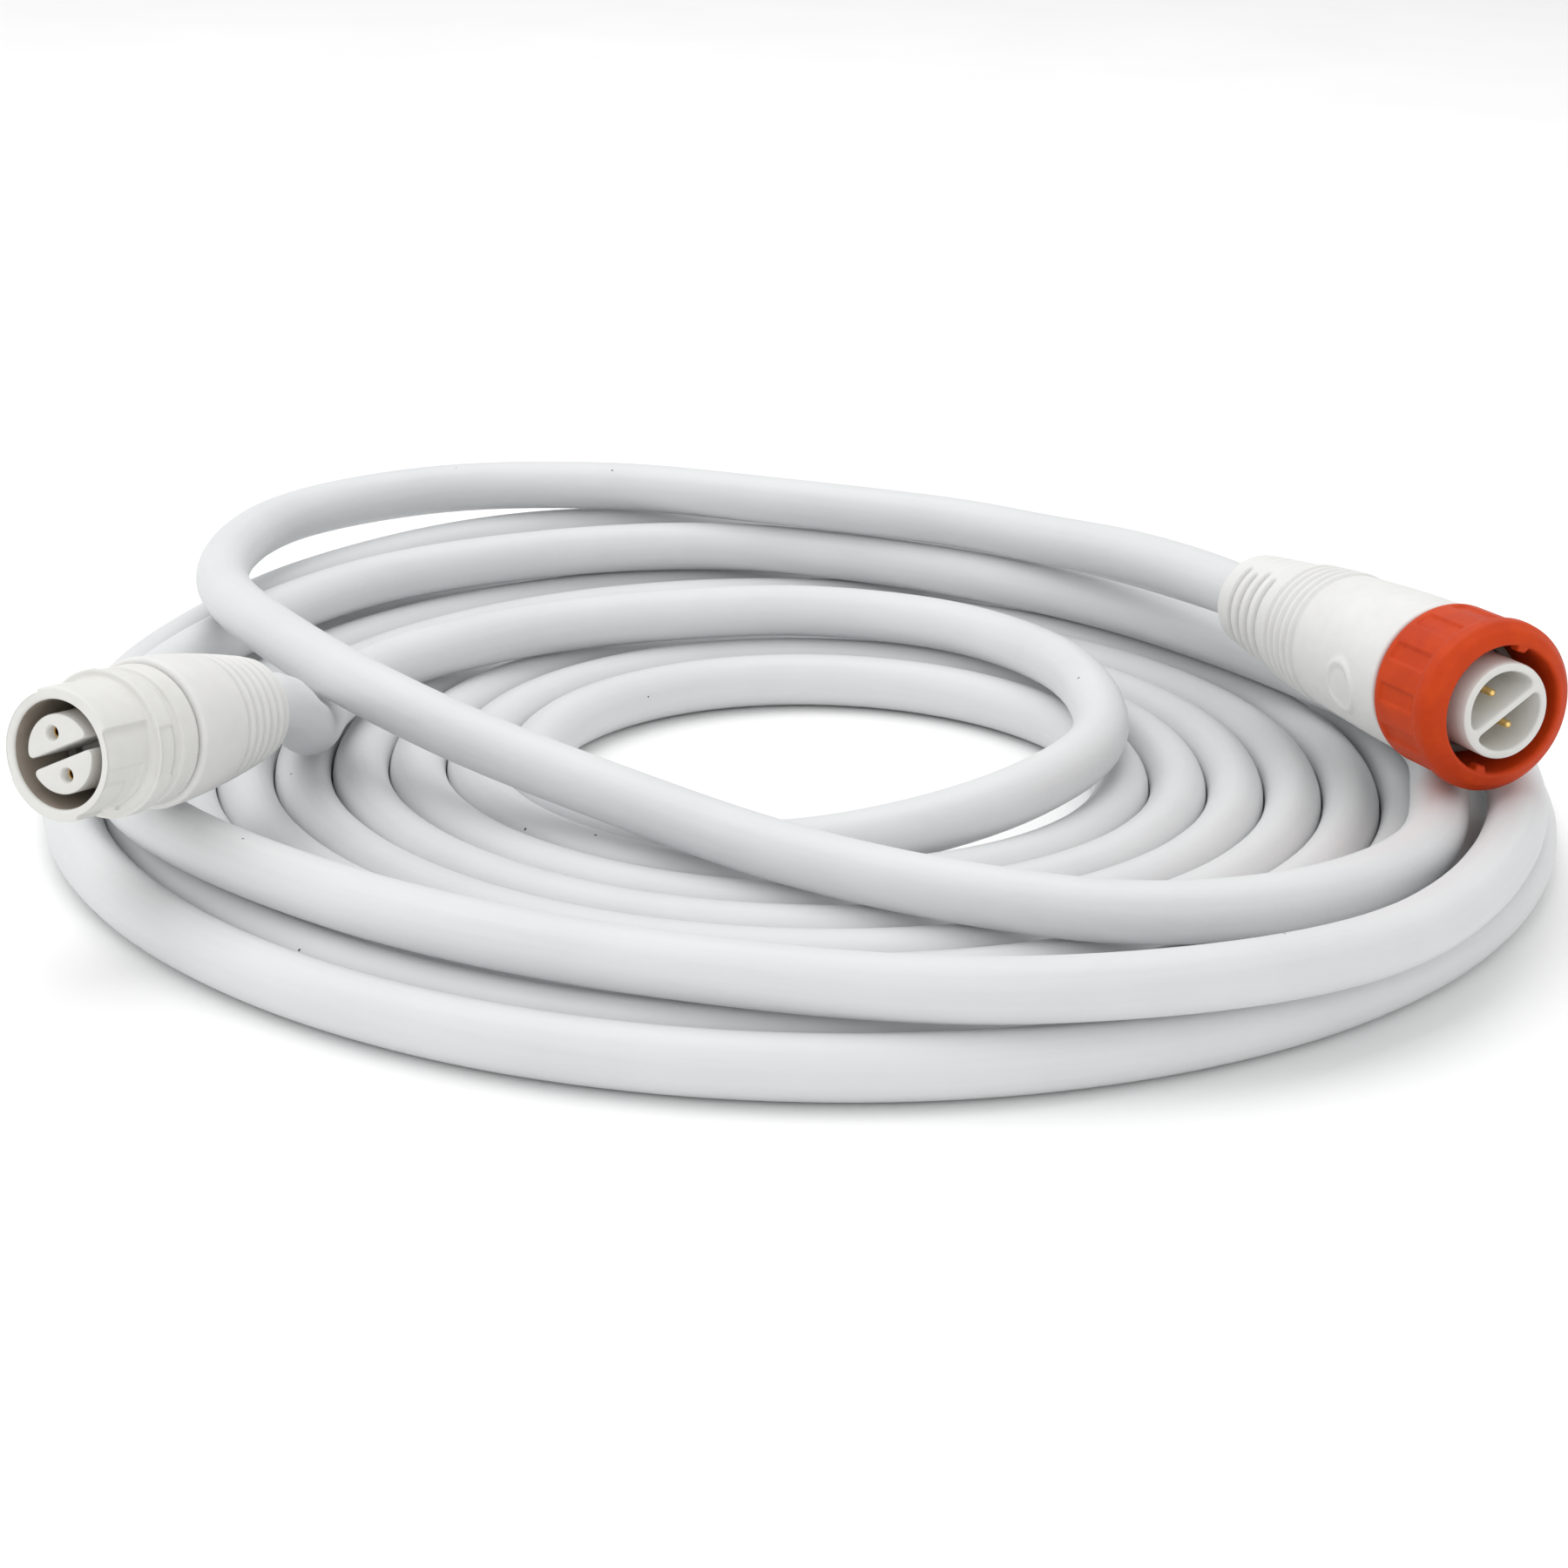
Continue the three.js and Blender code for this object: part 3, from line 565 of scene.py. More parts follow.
def swept_bar(line, along, radius, sides):
    """Circle carried along a line: point = centre + radius * (level * cos a + upright * sin a).
    Returns the rows of points, and the UV of each face corner, u round the bar and v along it."""
    direction = np.gradient(line, axis=0)
    direction = direction / np.linalg.norm(direction, axis=1, keepdims=True)
    level = np.cross(np.array([0.0, 0.0, 1.0]), direction)
    level = level / np.linalg.norm(level, axis=1, keepdims=True)
    upright = np.cross(direction, level)
    angle = np.linspace(0, 2 * math.pi, sides, endpoint=False)[None, :, None]
    circle = level[:, None] * np.cos(angle) + upright[:, None] * np.sin(angle)
    rows = line[:, None] + circle * np.asarray(radius)[:, None, None]
    u = np.arange(sides) / sides
    corner_u = np.stack([u, u + 1 / sides, u + 1 / sides, u], axis=1)
    v = along / (2 * math.pi * CORD_RADIUS)
    corner_v = np.stack([v[:-1], v[:-1], v[1:], v[1:]], axis=1)
    shape = (len(line) - 1, sides, 4)
    uv = np.stack([
        np.broadcast_to(corner_u[None], shape),
        np.broadcast_to(corner_v[:, None], shape),
    ], axis=-1)
    return rows, uv.reshape(-1, 2)


def grid_piece(name, rows, close_rows=False, corner_uv=None):
    """A closed mesh from a grid of points. Open ends get a flat cap, and faces point outwards: where
    the signed volume that they enclose is negative, every face is turned over."""
    row_count, column_count = rows.shape[:2]
    points = rows.reshape(-1, 3)
    faces = grid_faces(row_count, column_count, close_rows)
    quads = np.array(faces)
    middle = points.mean(axis=0)
    a, b, c, d = (points[quads[:, k]] - middle for k in range(4))
    volume = np.einsum("ij,ij->", np.cross(a, b), c) + np.einsum("ij,ij->", np.cross(a, c), d)
    if not close_rows:
        last = (row_count - 1) * column_count
        faces.append(list(range(column_count))[::-1])
        faces.append(list(range(last, last + column_count)))
    if volume < 0:
        faces = [face[::-1] for face in faces]
    piece = mesh_object(name, points, faces)
    if corner_uv is not None:
        layer = piece.data.uv_layers.new(name="surface")
        corners = np.zeros((len(piece.data.loops), 2))
        ordered = corner_uv.reshape(-1, 4, 2)[:, ::-1] if volume < 0 else corner_uv.reshape(-1, 4, 2)
        corners[: ordered.size // 2] = ordered.reshape(-1, 2)
        layer.data.foreach_set("uv", corners.ravel())
    return piece


swelling = 1 + 0.004 * np.sin(cord_along * 41.0) + 0.003 * np.sin(cord_along * 97.0 + 1.3)
cord_rows, cord_uv = swept_bar(cord_line, cord_along, CORD_RADIUS * swelling, CORD_SIDES)
cord = grid_piece("cord", cord_rows, corner_uv=cord_uv)
finish_piece(cord, CORD_BODY, jacket, ["cord_coil", "cord_plug_run", "cord_socket_run"])


# %% [markdown]
# ## Turned pieces
# Both connectors are round, so their pieces are profiles turned about the connector's axis. A real
# moulding has no sharp edge, so each corner of a profile is rounded first. Grooves, flutes and tracks
# are a relief: the turned radius less a depth that depends on height and angle. They could be cut
# with booleans, but a relief keeps one clean grid and gives every groove soft flanks.

# %% Rounded profiles and turned pieces
def rounded(corners, edge, step):
    """Polygon with each corner replaced by a short curve and each side cut into steps. The curve is
    the quadratic one from the point an edge length before the corner to the one after it."""
    corners = np.asarray(corners, float)
    before = np.roll(corners, 1, axis=0)
    after = np.roll(corners, -1, axis=0)
    side_in = np.linalg.norm(before - corners, axis=1, keepdims=True)
    side_out = np.linalg.norm(after - corners, axis=1, keepdims=True)
    start = corners + (before - corners) / side_in * np.minimum(edge, 0.45 * side_in)
    end = corners + (after - corners) / side_out * np.minimum(edge, 0.45 * side_out)
    t = np.linspace(0, 1, 5)[:, None]
    curve = [(1 - t) ** 2 * s + 2 * t * (1 - t) * c + t**2 * e for s, c, e in zip(start, corners, end)]
    out = []
    for index, points in enumerate(curve):
        out.append(points)
        following = curve[(index + 1) % len(curve)][0]
        pieces = int(np.linalg.norm(following - points[-1]) / step)
        share = np.linspace(0, 1, pieces + 2)[1:-1, None]
        out.append(points[-1] + (following - points[-1]) * share)
    return np.vstack(out)


def turned_piece(name, profile, sides, matrix, relief):
    """Profile rows of radius and height, in millimetres, turned about the connector's axis:
    x = r cos a, y = r sin a, z = h, where r is the profile's radius plus the relief at (r, h, a)."""
    angle = np.linspace(0, 2 * math.pi, sides, endpoint=False)[None, :]
    radius = np.repeat(profile[:, :1], sides, axis=1)
    height = np.repeat(profile[:, 1:], sides, axis=1)
    radius = radius + relief(radius, height, angle)
    rows = np.stack([radius * np.cos(angle), radius * np.sin(angle), height], axis=-1)
    return grid_piece(name, carried(rows * MM, matrix), close_rows=True)


def window(value, low, high, soft):
    """1 between low and high and 0 outside, with smooth flanks that are soft wide."""
    rise = np.clip((value - low) / soft + 0.5, 0, 1)
    fall = np.clip((high - value) / soft + 0.5, 0, 1)
    return rise**2 * (3 - 2 * rise) * fall**2 * (3 - 2 * fall)


def angle_from(angle, degrees):
    """Signed difference in degrees between angles in radians and one in degrees."""
    return (np.degrees(angle) - degrees + 180) % 360 - 180


def groove(height, at, width):
    """1 on the groove's line, falling to 0 beyond half its width, with a flat bottom."""
    return np.exp(-((height - at) / (0.5 * width)) ** 4)


def swell(height, length, collar, shoulder):
    """Outer line of a grip: it grows from the collar to the shoulder and levels out, as
    collar + (shoulder - collar) * (1 - (1 - height / length)^1.6)."""
    return collar + (shoulder - collar) * (1 - (1 - np.clip(height / length, 0, 1)) ** 1.6)


# %% [markdown]
# ### Plug grip
# The grip is soft plastic moulded over the cable's end. Its rear has deep cuts that let it bend with
# the cable, then come five fine ribs for the fingers, and a plain oval is raised on its side. The cuts
# are deep on two opposite sides and shallow between them, and each is turned a little from the last.

# %% Plug grip
COLLAR = 7.5
PLUG_SHOULDER = 11.8
PLUG_POCKET = 7.5
PLUG_POCKET_FLOOR = 22.0
CORD_BORE = 4.42
FAR = 99.0
FLEX_CUTS = [5.4, 8.4, 11.4, 14.4]
FINE_RIBS = [18.2, 20.3, 22.4, 24.5, 26.6]
OVAL_AT = 42.7
OVAL_SIDE = 190.0
OVAL_HALF_LENGTH = 3.4
OVAL_HALF_WIDTH = 3.8


def corner_curve(start, corner, end, count=5):
    """Points of the quadratic curve from start to end that is drawn towards the corner."""
    t = np.linspace(0, 1, count)[:, None]
    start, corner, end = (np.asarray(point, float) for point in (start, corner, end))
    return (1 - t) ** 2 * start + 2 * t * (1 - t) * corner + t**2 * end


def grip_profile(length, collar, shoulder, pocket, pocket_floor, step):
    """Closed outline of a grip: cable bore, rounded end, swelling side, shoulder and front pocket."""
    heights = np.arange(1.8, length - 0.8, step)
    side = np.stack([swell(heights, length, collar, shoulder), heights], axis=1)
    return np.vstack([
        corner_curve([CORD_BORE, 0.7], [CORD_BORE, 0], [CORD_BORE + 0.7, 0]),
        corner_curve([collar - 1.5, 0], [collar, 0], side[0], 9),
        side[1:],
        corner_curve([shoulder, length - 0.7], [shoulder, length], [shoulder - 0.7, length]),
        corner_curve([pocket + 0.3, length], [pocket, length], [pocket, length - 0.3]),
        [[pocket, pocket_floor], [CORD_BORE, pocket_floor]],
    ])


def plug_grip_relief(radius, height, angle):
    """Depth of the cuts, ribs and oval on the plug's grip, only on its outer side."""
    outside = window(radius, swell(height, PLUG_GRIP_LENGTH, COLLAR, PLUG_SHOULDER) - 0.5, FAR, 0.1)
    depth = np.zeros_like(radius + angle)
    for index, at in enumerate(FLEX_CUTS):
        turn = 6 * (index % 2)
        left = window(np.abs(angle_from(angle, 176 + turn)), -1, 52, 10)
        right = window(np.abs(angle_from(angle, -4 - turn)), -1, 52, 10)
        depth = depth - (0.35 + 1.5 * np.maximum(left, right)) * groove(height, at, 1.15)
    for at in FINE_RIBS:
        depth = depth + 0.34 * groove(height, at, 0.9) - 0.42 * groove(height, at + 0.98, 0.9)
    across = np.radians(angle_from(angle, OVAL_SIDE)) * radius
    ring_distance = np.hypot((height - OVAL_AT) / OVAL_HALF_LENGTH, across / OVAL_HALF_WIDTH)
    depth = depth + 0.34 * groove(ring_distance, 1.0, 0.30)
    return depth * outside


plug_profile = grip_profile(
    PLUG_GRIP_LENGTH, COLLAR, PLUG_SHOULDER, PLUG_POCKET, PLUG_POCKET_FLOOR, 0.2)
plug_grip = turned_piece("plug_grip", plug_profile, 160, plug_frame, plug_grip_relief)
finish_piece(plug_grip, CORD_BODY, moulding, ["plug_overmould"])

# %% [markdown]
# ### Locking ring
# The ring turns on the plug and pulls the two connectors together. It has a rim with a rounded front,
# twelve shallow flats for the fingers, and two small lugs inside its mouth that run in the socket's
# tracks. It rides on its own body, so it turns with the joint. Its flats, rim and lugs are one relief,
# with enough sides round the ring for the lugs' short flanks.

# %% Locking ring
RING_REAR = PLUG_GRIP_LENGTH + PART_GAP
RING_FRONT = RING_REAR + 15.7
LIP_BORE = 7.5
LIP_FRONT = RING_REAR + 1.8
RING_BORE = 9.5
RING_RIM_REAR = RING_FRONT - 4.0
LUG_SIDE = 72.0
RING_FLATS = 12


def ring_relief(radius, height, angle):
    """Flats on the grip, and lugs on the bore near the mouth."""
    local = angle_from(angle, LUG_SIDE)
    spacing = 360 / RING_FLATS
    from_flat = (local % spacing) - spacing / 2
    along = window(height, RING_REAR + 2.2, RING_RIM_REAR - 1.2, 0.7)
    flat = window(np.abs(from_flat), -1, 6.2, 1.6) * along
    outside = window(radius, 11.6, FAR, 0.2)
    side = np.minimum(np.abs(local), 180 - np.abs(local))
    lug = window(side, -1, 5.0, 1.8) * window(height, RING_FRONT - 2.6, RING_FRONT - 0.5, 0.5)
    inside = window(radius, RING_BORE - 0.3, RING_BORE + 0.3, 0.1)
    return -0.42 * flat * outside - 0.85 * lug * inside


ring_profile = rounded([
    [LIP_BORE, RING_REAR], [11.5, RING_REAR], [12.3, RING_REAR + 1.0], [12.4, RING_RIM_REAR - 0.6],
    [12.9, RING_RIM_REAR + 0.1], [12.75, RING_FRONT - 2.2], [11.5, RING_FRONT - 0.7],
    [9.9, RING_FRONT], [RING_BORE, RING_FRONT - 0.5], [RING_BORE, LIP_FRONT], [LIP_BORE, LIP_FRONT],
], 0.4, 0.25)
locking_ring = turned_piece("bayonet_ring", ring_profile, 288, plug_frame, ring_relief)
finish_piece(locking_ring, RING_BODY, ring_orange, ["locking_ring"])

# %% [markdown]
# ### Half-round chambers and posts
# The plug's nose has two half-round chambers, and the socket has two half-round posts that fit them.
# Both come from one outline: a half disc with its corners rounded. Flat faces with holes in them are
# filled from their outlines, and walls are grids between outlines at different heights. Booleans of
# blocks and rods could make these too, but here every edge gets its own small chamfer.

# %% Half-round outline and the walls between outlines
def half_round(radius, wall, corner, side, roll):
    """Half disc beyond a wall's face, with rounded corners, turned by roll degrees, as a closed
    outline of x and y. Growing radius and shrinking wall by the same amount moves the outline out."""
    half = math.sqrt(radius**2 - wall**2)
    gap = corner / radius
    start = math.asin(wall / radius) + gap
    arc = np.linspace(start, math.pi - start, 40)
    arc_points = np.stack([radius * np.cos(arc), radius * np.sin(arc)], axis=1)
    outline = np.vstack([
        corner_curve([half - corner, wall], [half, wall], arc_points[0], 7),
        arc_points[1:-1],
        corner_curve(arc_points[-1], [-half, wall], [corner - half, wall], 7),
        np.stack([np.linspace(corner - half, half - corner, 10)[1:-1], np.full(8, wall)], axis=1),
    ])
    angle = math.radians(roll + (0 if side > 0 else 180))
    turn = np.array([[math.cos(angle), math.sin(angle)], [-math.sin(angle), math.cos(angle)]])
    return outline @ turn


def disc_outline(radius, sides, centre=(0.0, 0.0)):
    """Circle as a closed outline of x and y."""
    angle = np.linspace(0, 2 * math.pi, sides, endpoint=False)
    return np.stack([radius * np.cos(angle), radius * np.sin(angle)], axis=1) + np.asarray(centre)


class Shell:
    """Walls and flat faces that are gathered into one closed mesh. Heights are in millimetres."""

    def __init__(self):
        self.points = []
        self.faces = []
        self.count = 0

    def outline(self, shape, height):
        """Adds a ring of points and returns its first index and its length."""
        self.points.append(np.column_stack([shape, np.full(len(shape), height)]))
        first = self.count
        self.count += len(shape)
        return first, len(shape)

    def wall(self, low, high, outward=True):
        """Faces between two rings of the same length. Outward walls face away from the outline."""
        index = np.arange(low[1])
        following = (index + 1) % low[1]
        corners = [low[0] + index, low[0] + following, high[0] + following, high[0] + index]
        quads = np.stack(corners, axis=1)
        self.faces += (quads if outward else quads[:, ::-1]).tolist()

    def tube(self, shapes, heights, outward=True):
        """A wall through several outlines. Returns the first and last ring."""
        rings = [self.outline(shape, height) for shape, height in zip(shapes, heights)]
        for low, high in zip(rings[:-1], rings[1:]):
            self.wall(low, high, outward)
        return rings[0], rings[-1]

    def plate(self, outer, holes, up):
        """Flat face inside one ring and outside the others, facing up or down the axis."""
        everything = np.vstack(self.points)
        rings = [outer, *holes]
        lines = [[Vector(everything[first + k]) for k in range(length)] for first, length in rings]
        numbers = [first + k for first, length in rings for k in range(length)]
        for a, b, c in geometry.tessellate_polygon(lines):
            corners = [numbers[a], numbers[b], numbers[c]]
            p, q, r = everything[corners]
            facing_up = np.cross(q - p, r - p)[2] > 0
            self.faces.append(corners if facing_up == up else corners[::-1])

    def lathe(self, line, centre=(0.0, 0.0), sides=96, outward=True):
        """A wall of round outlines, from pairs of radius and height."""
        shapes = [disc_outline(radius, sides, centre) for radius, height in line]
        return self.tube(shapes, [height for radius, height in line], outward)

    def piece(self, name, matrix):
        """The gathered mesh as an object, with edges sharper than 35 degrees kept crisp."""
        made = mesh_object(name, carried(np.vstack(self.points) * MM, matrix), self.faces)
        made.data.set_sharp_from_angle(angle=math.radians(35))
        return made


# %% [markdown]
# ### Plug nose and pins
# The nose is hard plastic. A wall parts it into two chambers with one gold pin in each, so that a
# finger cannot touch both, and the plug goes into its socket one way only.

# %% Plug nose
PLUG_ROLL = 32.0
NOSE_RADIUS = 7.2
NOSE_FRONT = RING_FRONT + 0.6
NOSE_REAR = NOSE_FRONT - 11.0
FLANGE_RADIUS = 9.2
CHAMBER_RADIUS = 5.9
CHAMBER_WALL = 0.6
CHAMBER_FLOOR = NOSE_FRONT - 10.0
CARRIER_REAR = 36.6

nose = Shell()
nose_line = [
    (NOSE_RADIUS, CARRIER_REAR), (NOSE_RADIUS, NOSE_REAR - 2.0), (FLANGE_RADIUS - 0.2, NOSE_REAR - 2.0),
    (FLANGE_RADIUS, NOSE_REAR - 1.8), (FLANGE_RADIUS, NOSE_REAR - 0.2), (FLANGE_RADIUS - 0.2, NOSE_REAR),
    (NOSE_RADIUS, NOSE_REAR), (NOSE_RADIUS, NOSE_FRONT - 0.55), (NOSE_RADIUS - 0.12, NOSE_FRONT - 0.22),
    (NOSE_RADIUS - 0.45, NOSE_FRONT),
]
nose_rear, nose_face = nose.lathe(nose_line)
nose.plate(nose_rear, [], up=False)
chamber_mouths = []
for side in (1, -1):
    chamber_shapes = [
        half_round(CHAMBER_RADIUS - 0.25, CHAMBER_WALL + 0.25, 1.0, side, PLUG_ROLL),
        half_round(CHAMBER_RADIUS, CHAMBER_WALL, 1.2, side, PLUG_ROLL),
        half_round(CHAMBER_RADIUS, CHAMBER_WALL, 1.2, side, PLUG_ROLL),
        half_round(CHAMBER_RADIUS + 0.1, CHAMBER_WALL - 0.1, 1.2, side, PLUG_ROLL),
        half_round(CHAMBER_RADIUS + 0.28, CHAMBER_WALL - 0.2, 1.2, side, PLUG_ROLL),
    ]
    chamber_heights = [CHAMBER_FLOOR, CHAMBER_FLOOR + 0.3]
    chamber_heights += [NOSE_FRONT - 0.35, NOSE_FRONT - 0.12, NOSE_FRONT]
    floor_ring, mouth_ring = nose.tube(chamber_shapes, chamber_heights, outward=False)
    nose.plate(floor_ring, [], up=True)
    chamber_mouths.append(mouth_ring)
nose.plate(nose_face, chamber_mouths, up=True)
plug_nose = nose.piece("plug_nose", plug_frame)
finish_piece(plug_nose, CORD_BODY, hard_white, ["plug_contact_carrier"])

# %% [markdown]
# Each pin is one turned bar: a thick crimp at the rear, a shaft through the carrier, and a thinner
# round-ended tip that stands a little behind the nose's face.

# %% Pins
PIN_RADIUS = 0.75
PIN_SPREAD = 3.0
PIN_TIP = NOSE_FRONT - 1.2
PIN_REAR = 31.3
CRIMP_RADIUS = 1.5
CRIMP_FRONT = PIN_REAR + 5.0
TIP_RADIUS = 0.56
pin_line = [
    (CRIMP_RADIUS - 0.1, PIN_REAR), (CRIMP_RADIUS, PIN_REAR + 0.1), (CRIMP_RADIUS, CRIMP_FRONT - 0.1),
    (CRIMP_RADIUS - 0.1, CRIMP_FRONT), (PIN_RADIUS, CRIMP_FRONT), (PIN_RADIUS, PIN_TIP - 3.4),
    (TIP_RADIUS, PIN_TIP - 2.9), (TIP_RADIUS, PIN_TIP - 0.45), (0.44, PIN_TIP - 0.17),
    (0.22, PIN_TIP - 0.03), (0.05, PIN_TIP),
]


def contact_place(roll, side):
    """Middle of a contact, on one side of the wall or slit that is rolled by so many degrees."""
    angle = math.radians(roll)
    return (-math.sin(angle) * PIN_SPREAD * side, math.cos(angle) * PIN_SPREAD * side)


for number, side in ((1, 1), (2, -1)):
    pin = Shell()
    pin_rear, pin_tip = pin.lathe(pin_line, contact_place(PLUG_ROLL, side), sides=28)
    pin.plate(pin_rear, [], up=False)
    pin.plate(pin_tip, [], up=True)
    pin_piece = pin.piece(f"contact_pin_{number}", plug_frame)
    finish_piece(pin_piece, CORD_BODY, contact_gold, [f"plug_pin_{number}"])

# %% [markdown]
# ### Socket grip
# The socket's grip is a shorter moulding of the same family. The six grooves near its end let it bend
# with the cable, so it is the same profile and relief as the plug's, with other numbers.

# %% Socket grip
SOCKET_SHOULDER = 10.7
SOCKET_POCKET = 8.7
SOCKET_POCKET_FLOOR = 9.0
SOCKET_GROOVES = 2.0 + 2.1 * np.arange(6)


def socket_grip_relief(radius, height, angle):
    """Grooves near the cable's end, only on the outer side."""
    outside = window(radius, swell(height, SOCKET_GRIP_LENGTH, COLLAR, SOCKET_SHOULDER) - 0.5, FAR, 0.1)
    depth = np.zeros_like(radius + angle)
    for at in SOCKET_GROOVES:
        depth = depth - 0.85 * groove(height, at, 0.95)
    return depth * outside


socket_profile = grip_profile(
    SOCKET_GRIP_LENGTH, COLLAR, SOCKET_SHOULDER, SOCKET_POCKET, SOCKET_POCKET_FLOOR, 0.15)
socket_grip = turned_piece("socket_grip", socket_profile, 144, socket_frame, socket_grip_relief)
finish_piece(socket_grip, CORD_BODY, moulding, ["socket_overmould"])

# %% [markdown]
# ### Socket shell
# The hard shell carries the barrel that enters the ring. Two tracks are sunk in the barrel: each
# starts at the mouth, where a lug goes in, and then runs round it for the ring's turn. A wide shallow
# recess round each entry leads the lug to it.

# %% Socket shell
SOCKET_ROLL = 27.0
BARREL_REAR = SOCKET_FRONT - BARREL_LENGTH
BARREL_RADIUS = 9.2
BARREL_BORE = 7.5
STOP_RADIUS = 10.35
STOP_REAR = SOCKET_GRIP_LENGTH + PART_GAP
TAIL_REAR = 14.0
TAIL_RADIUS = 8.4
TRACK_ENTRY = SOCKET_ROLL + PLUG_ROLL - LUG_SIDE
TRACK_NEAR = SOCKET_FRONT - 4.4
TRACK_FAR = SOCKET_FRONT - 7.6


def shell_relief(radius, height, angle):
    """Recesses and bayonet tracks on the barrel, and four shallow flats on the shoulder behind it."""
    on_barrel = window(radius, BARREL_RADIUS - 0.25, BARREL_RADIUS + 0.3, 0.1)
    on_barrel = on_barrel * window(height, BARREL_REAR + 0.2, FAR, 0.1)
    local = angle_from(angle, TRACK_ENTRY)
    local = np.where(local > 90, local - 180, np.where(local < -90, local + 180, local))
    entry = window(np.abs(local), -1, 7.5, 1.2) * window(height, TRACK_FAR, FAR, 0.3)
    turn = window(local, -67, 7, 1.2) * window(height, TRACK_FAR, TRACK_NEAR, 0.3)
    lead_in = 0.7 * window(local, -52, 44, 1.2)
    shoulder = window(radius, STOP_RADIUS - 0.3, FAR, 0.1)
    shoulder = shoulder * window(height, BARREL_REAR - 4.2, BARREL_REAR - 0.4, 0.4)
    panel = window(np.abs((local + 30) % 90 - 45), -1, 20, 2)
    sunk = np.maximum(np.maximum(entry, turn), lead_in)
    return -0.85 * sunk * on_barrel - 0.30 * panel * shoulder


shell_profile = rounded([
    [BARREL_BORE, TAIL_REAR], [TAIL_RADIUS, TAIL_REAR], [TAIL_RADIUS, STOP_REAR],
    [9.95, STOP_REAR], [9.95, 27.8], [9.25, 28.1], [9.25, 29.4], [STOP_RADIUS, 29.7],
    [STOP_RADIUS, BARREL_REAR], [BARREL_RADIUS, BARREL_REAR],
    [BARREL_RADIUS, SOCKET_FRONT], [BARREL_BORE, SOCKET_FRONT],
], 0.45, 0.3)
socket_shell = turned_piece("socket_barrel", shell_profile, 240, socket_frame, shell_relief)
finish_piece(socket_shell, CORD_BODY, hard_white, ["socket_shell"])

# %% [markdown]
# The inside of a deep socket looks brown and dark next to its white rim. This is painted shade: the bore's faces
# get a darker material of their own, which stands in for the shadow deep in the barrel.

# %% Painted shade in the socket's bore
# The bore's faces get the cavity_shade material, which is painted shade.
socket_shell.data.materials.append(cavity_shade)
centres = np.zeros(len(socket_shell.data.polygons) * 3)
socket_shell.data.polygons.foreach_get("center", centres)
in_frame = carried(centres.reshape(-1, 3), np.linalg.inv(socket_frame)) / MM
near_axis = np.hypot(in_frame[:, 0], in_frame[:, 1]) < BARREL_BORE + 0.06
bore_faces = near_axis & (in_frame[:, 2] < SOCKET_FRONT - 0.5)
socket_shell.data.polygons.foreach_set("material_index", bore_faces.astype(np.int32))
print("painted shade faces:", int(bore_faces.sum()))

# %% [markdown]
# The posts stand on a round base inside the barrel, half a millimetre behind its mouth. Each has one
# hole for a pin. The holes could be left to the CAD node, but their small chamfers catch the light.

# %% Socket posts
POST_FACE = SOCKET_FRONT - 0.5
POST_FOOT = SOCKET_FRONT - 11.8
POST_RADIUS = 5.5
POST_HALF_SLIT = 0.8
BASE_RADIUS = 7.2
BASE_REAR = 23.6
HOLE_RADIUS = 0.95
hole_line = [
    (HOLE_RADIUS, POST_FACE - 7.0), (HOLE_RADIUS, POST_FACE - 0.3), (HOLE_RADIUS + 0.2, POST_FACE),
]

posts = Shell()
base_line = [(BASE_RADIUS, BASE_REAR), (BASE_RADIUS, POST_FOOT)]
base_rear, base_front = posts.lathe(base_line)
posts.plate(base_rear, [], up=False)
post_feet = []
for side in (1, -1):
    post_shapes = [
        half_round(POST_RADIUS, POST_HALF_SLIT, 1.0, side, SOCKET_ROLL),
        half_round(POST_RADIUS, POST_HALF_SLIT, 1.0, side, SOCKET_ROLL),
        half_round(POST_RADIUS - 0.08, POST_HALF_SLIT + 0.08, 0.98, side, SOCKET_ROLL),
        half_round(POST_RADIUS - 0.28, POST_HALF_SLIT + 0.28, 0.95, side, SOCKET_ROLL),
    ]
    foot, face_edge = posts.tube(post_shapes, [POST_FOOT, POST_FACE - 0.3, POST_FACE - 0.1, POST_FACE])
    post_feet.append(foot)
    hole_floor, hole_mouth = posts.lathe(
        hole_line, contact_place(SOCKET_ROLL, side), sides=32, outward=False)
    posts.plate(hole_floor, [], up=True)
    posts.plate(face_edge, [hole_mouth], up=True)
posts.plate(base_front, post_feet, up=True)
socket_posts = posts.piece("socket_posts", socket_frame)
finish_piece(socket_posts, CORD_BODY, hard_white, ["socket_contact_carrier"])

# %% [markdown]
# ## CAD pieces that stay
# The inner pieces have the right shape already, so they only get their finishes.

# %% Finishes on the CAD nodes
cad_finishes = {
    jacket: ["plug_jacket_end", "socket_jacket_end"],
    hard_white: ["plug_inner_mould", "socket_inner_mould"],
    contact_gold: ["socket_contact_1", "socket_contact_2"],
    bare_copper: ["plug_conductor_1", "plug_conductor_2", "socket_conductor_1", "socket_conductor_2"],
    core_brown: ["plug_core_1", "socket_core_1"],
    core_blue: ["plug_core_2", "socket_core_2"],
    seal_grey: ["plug_nose_seal", "socket_face_gasket"],
}
for material, nodes in cad_finishes.items():
    for node in nodes:
        data = frame["nodes"][node].data
        data.materials.clear()
        data.materials.append(material)
print("CAD nodes with finishes:", sum(len(nodes) for nodes in cad_finishes.values()))

# %% [markdown]
# ## Stage and light
# The cord lies on a plain pale floor, with a faint paper tone so that it isn't one flat value.

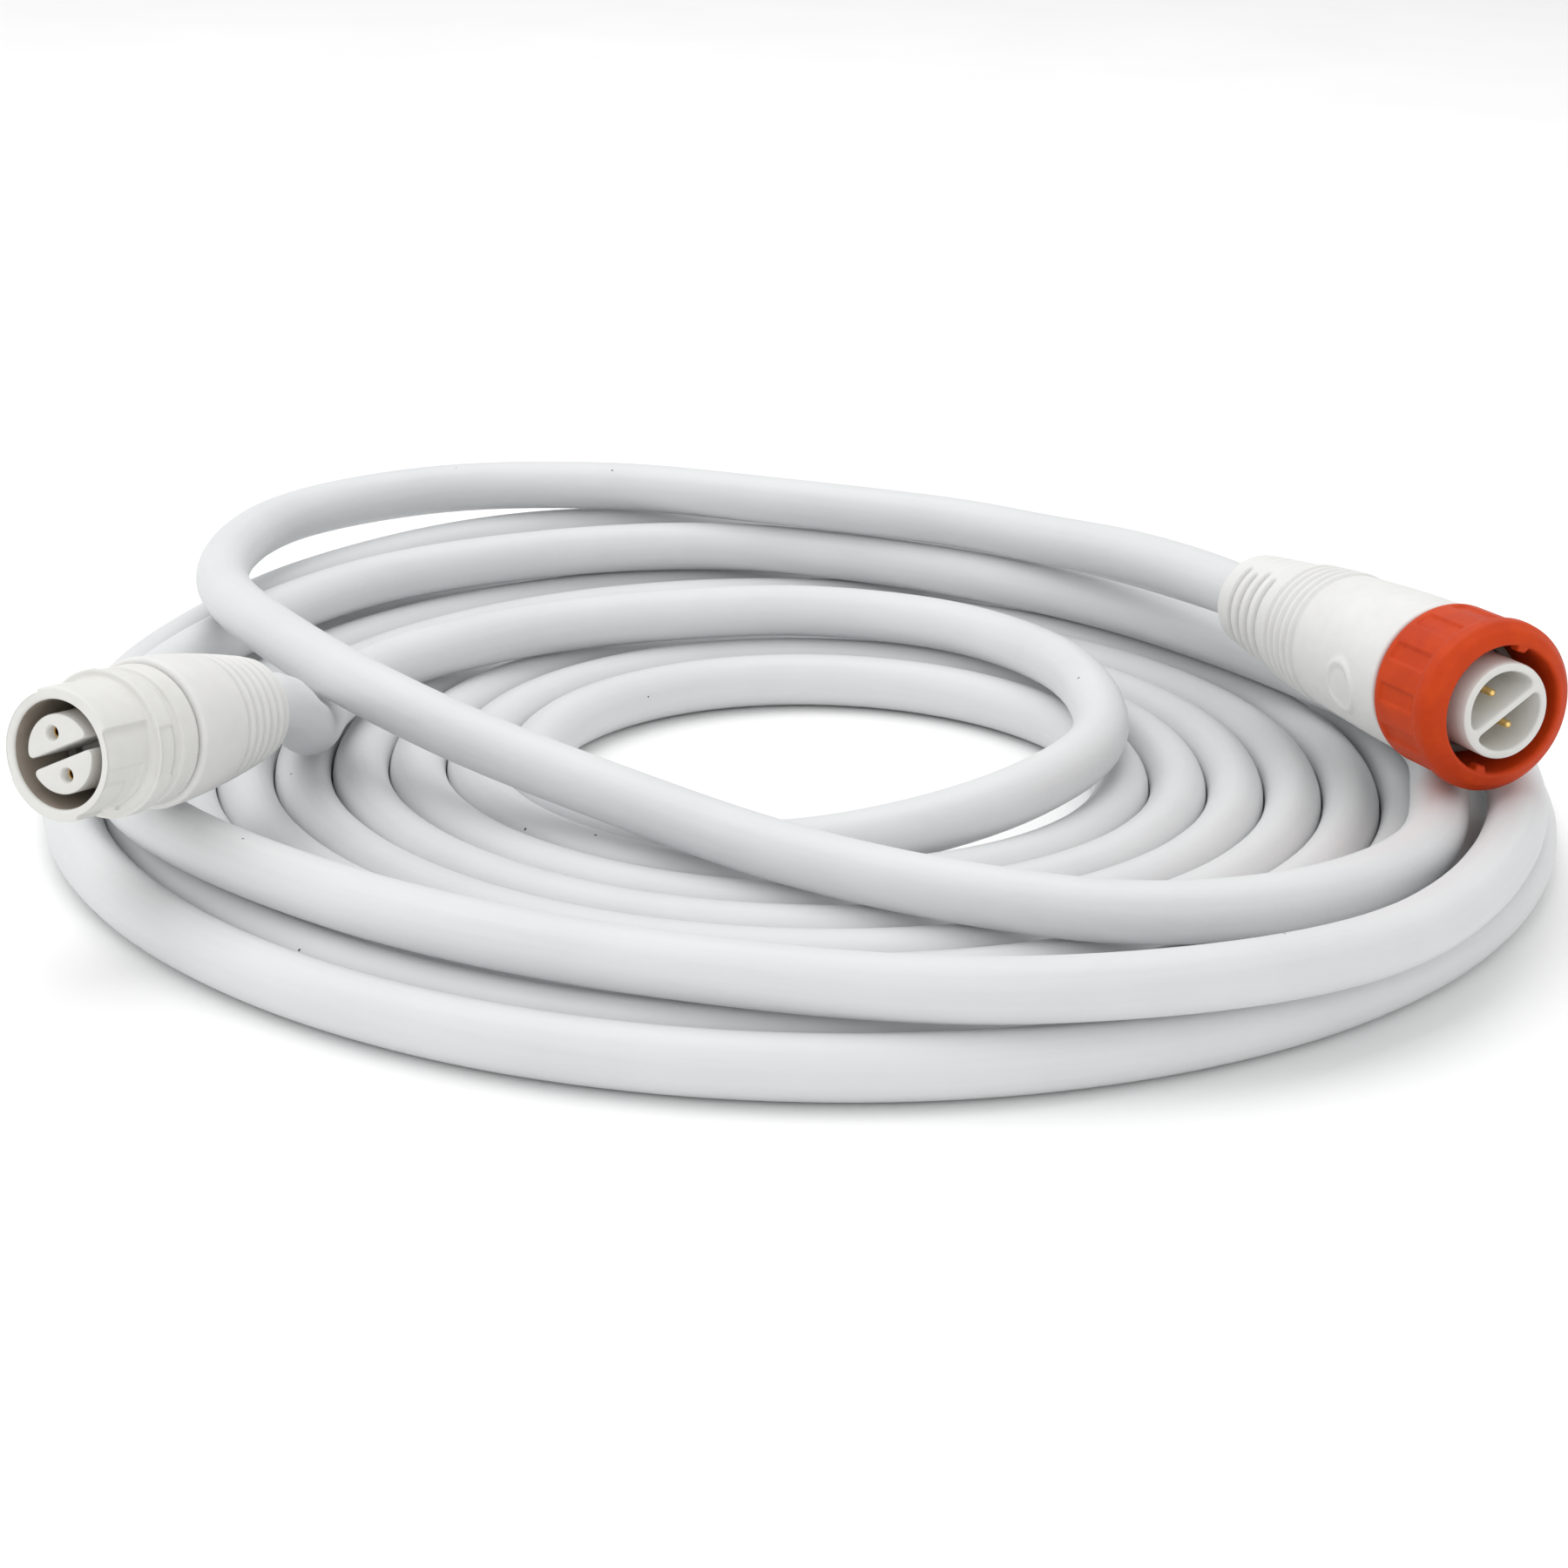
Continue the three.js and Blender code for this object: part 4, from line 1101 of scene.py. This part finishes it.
# %% Floor
floor_data = bpy.data.meshes.new("floor")
floor_reach = 3.0
floor_height = float(cad_box[0][2]) - 0.2 * MM
floor_data.from_pydata(
    [(-floor_reach, -floor_reach, floor_height), (floor_reach, -floor_reach, floor_height),
     (floor_reach, floor_reach, floor_height), (-floor_reach, floor_reach, floor_height)],
    [], [(0, 1, 2, 3)])
floor = bpy.data.objects.new("floor", floor_data)
bpy.context.scene.collection.objects.link(floor)
floor_finish = Finish("floor_paper", {"Roughness": 0.9, "Specular IOR Level": 0.1})
paper = floor_finish.noise(floor_finish.place_on_object(), 14, detail=2)
paper_tones = [(0.2, (0.90, 0.90, 0.90, 1)), (0.8, (0.93, 0.93, 0.93, 1))]
paper_colour = floor_finish.node("ShaderNodeValToRGB", {"Fac": paper}, stops=paper_tones)
floor_finish.surface(Base_Color=paper_colour)
floor_data.materials.append(floor_finish.material)


# %% [markdown]
# Three rectangular lamps give the light its direction, and the bright room fills the shadows. A
# single small lamp would draw hard edges on the turns, which a pale cord in a studio doesn't show.

# %% Lights
def soft_lamp(name, place_m, aim_m, width, height, watts):
    """Rectangular lamp at a place, turned towards a point."""
    data = bpy.data.lights.new(name, "AREA")
    data.shape = "RECTANGLE"
    data.size = width
    data.size_y = height
    data.energy = watts
    lamp = bpy.data.objects.new(name, data)
    lamp.rotation_euler = (Vector(aim_m) - Vector(place_m)).to_track_quat("-Z", "Y").to_euler()
    lamp.location = place_m
    bpy.context.scene.collection.objects.link(lamp)


soft_lamp("overhead", (-0.25, 0.25, 1.3), (0, 0, 0), 1.5, 1.1, 8.5)
soft_lamp("front", (0.3, -1.5, 0.75), (0, 0, 0.02), 1.4, 0.8, 3)
soft_lamp("left", (-1.3, -0.2, 0.6), (0, 0, 0.02), 0.8, 0.8, 2)

world = bpy.data.worlds.new("room")
world.use_nodes = True
world.node_tree.nodes["Background"].inputs["Color"].default_value = (1, 1, 1, 1)
world.node_tree.nodes["Background"].inputs["Strength"].default_value = 0.8
bpy.context.scene.world = world
bpy.context.scene.view_settings.view_transform = "Standard"
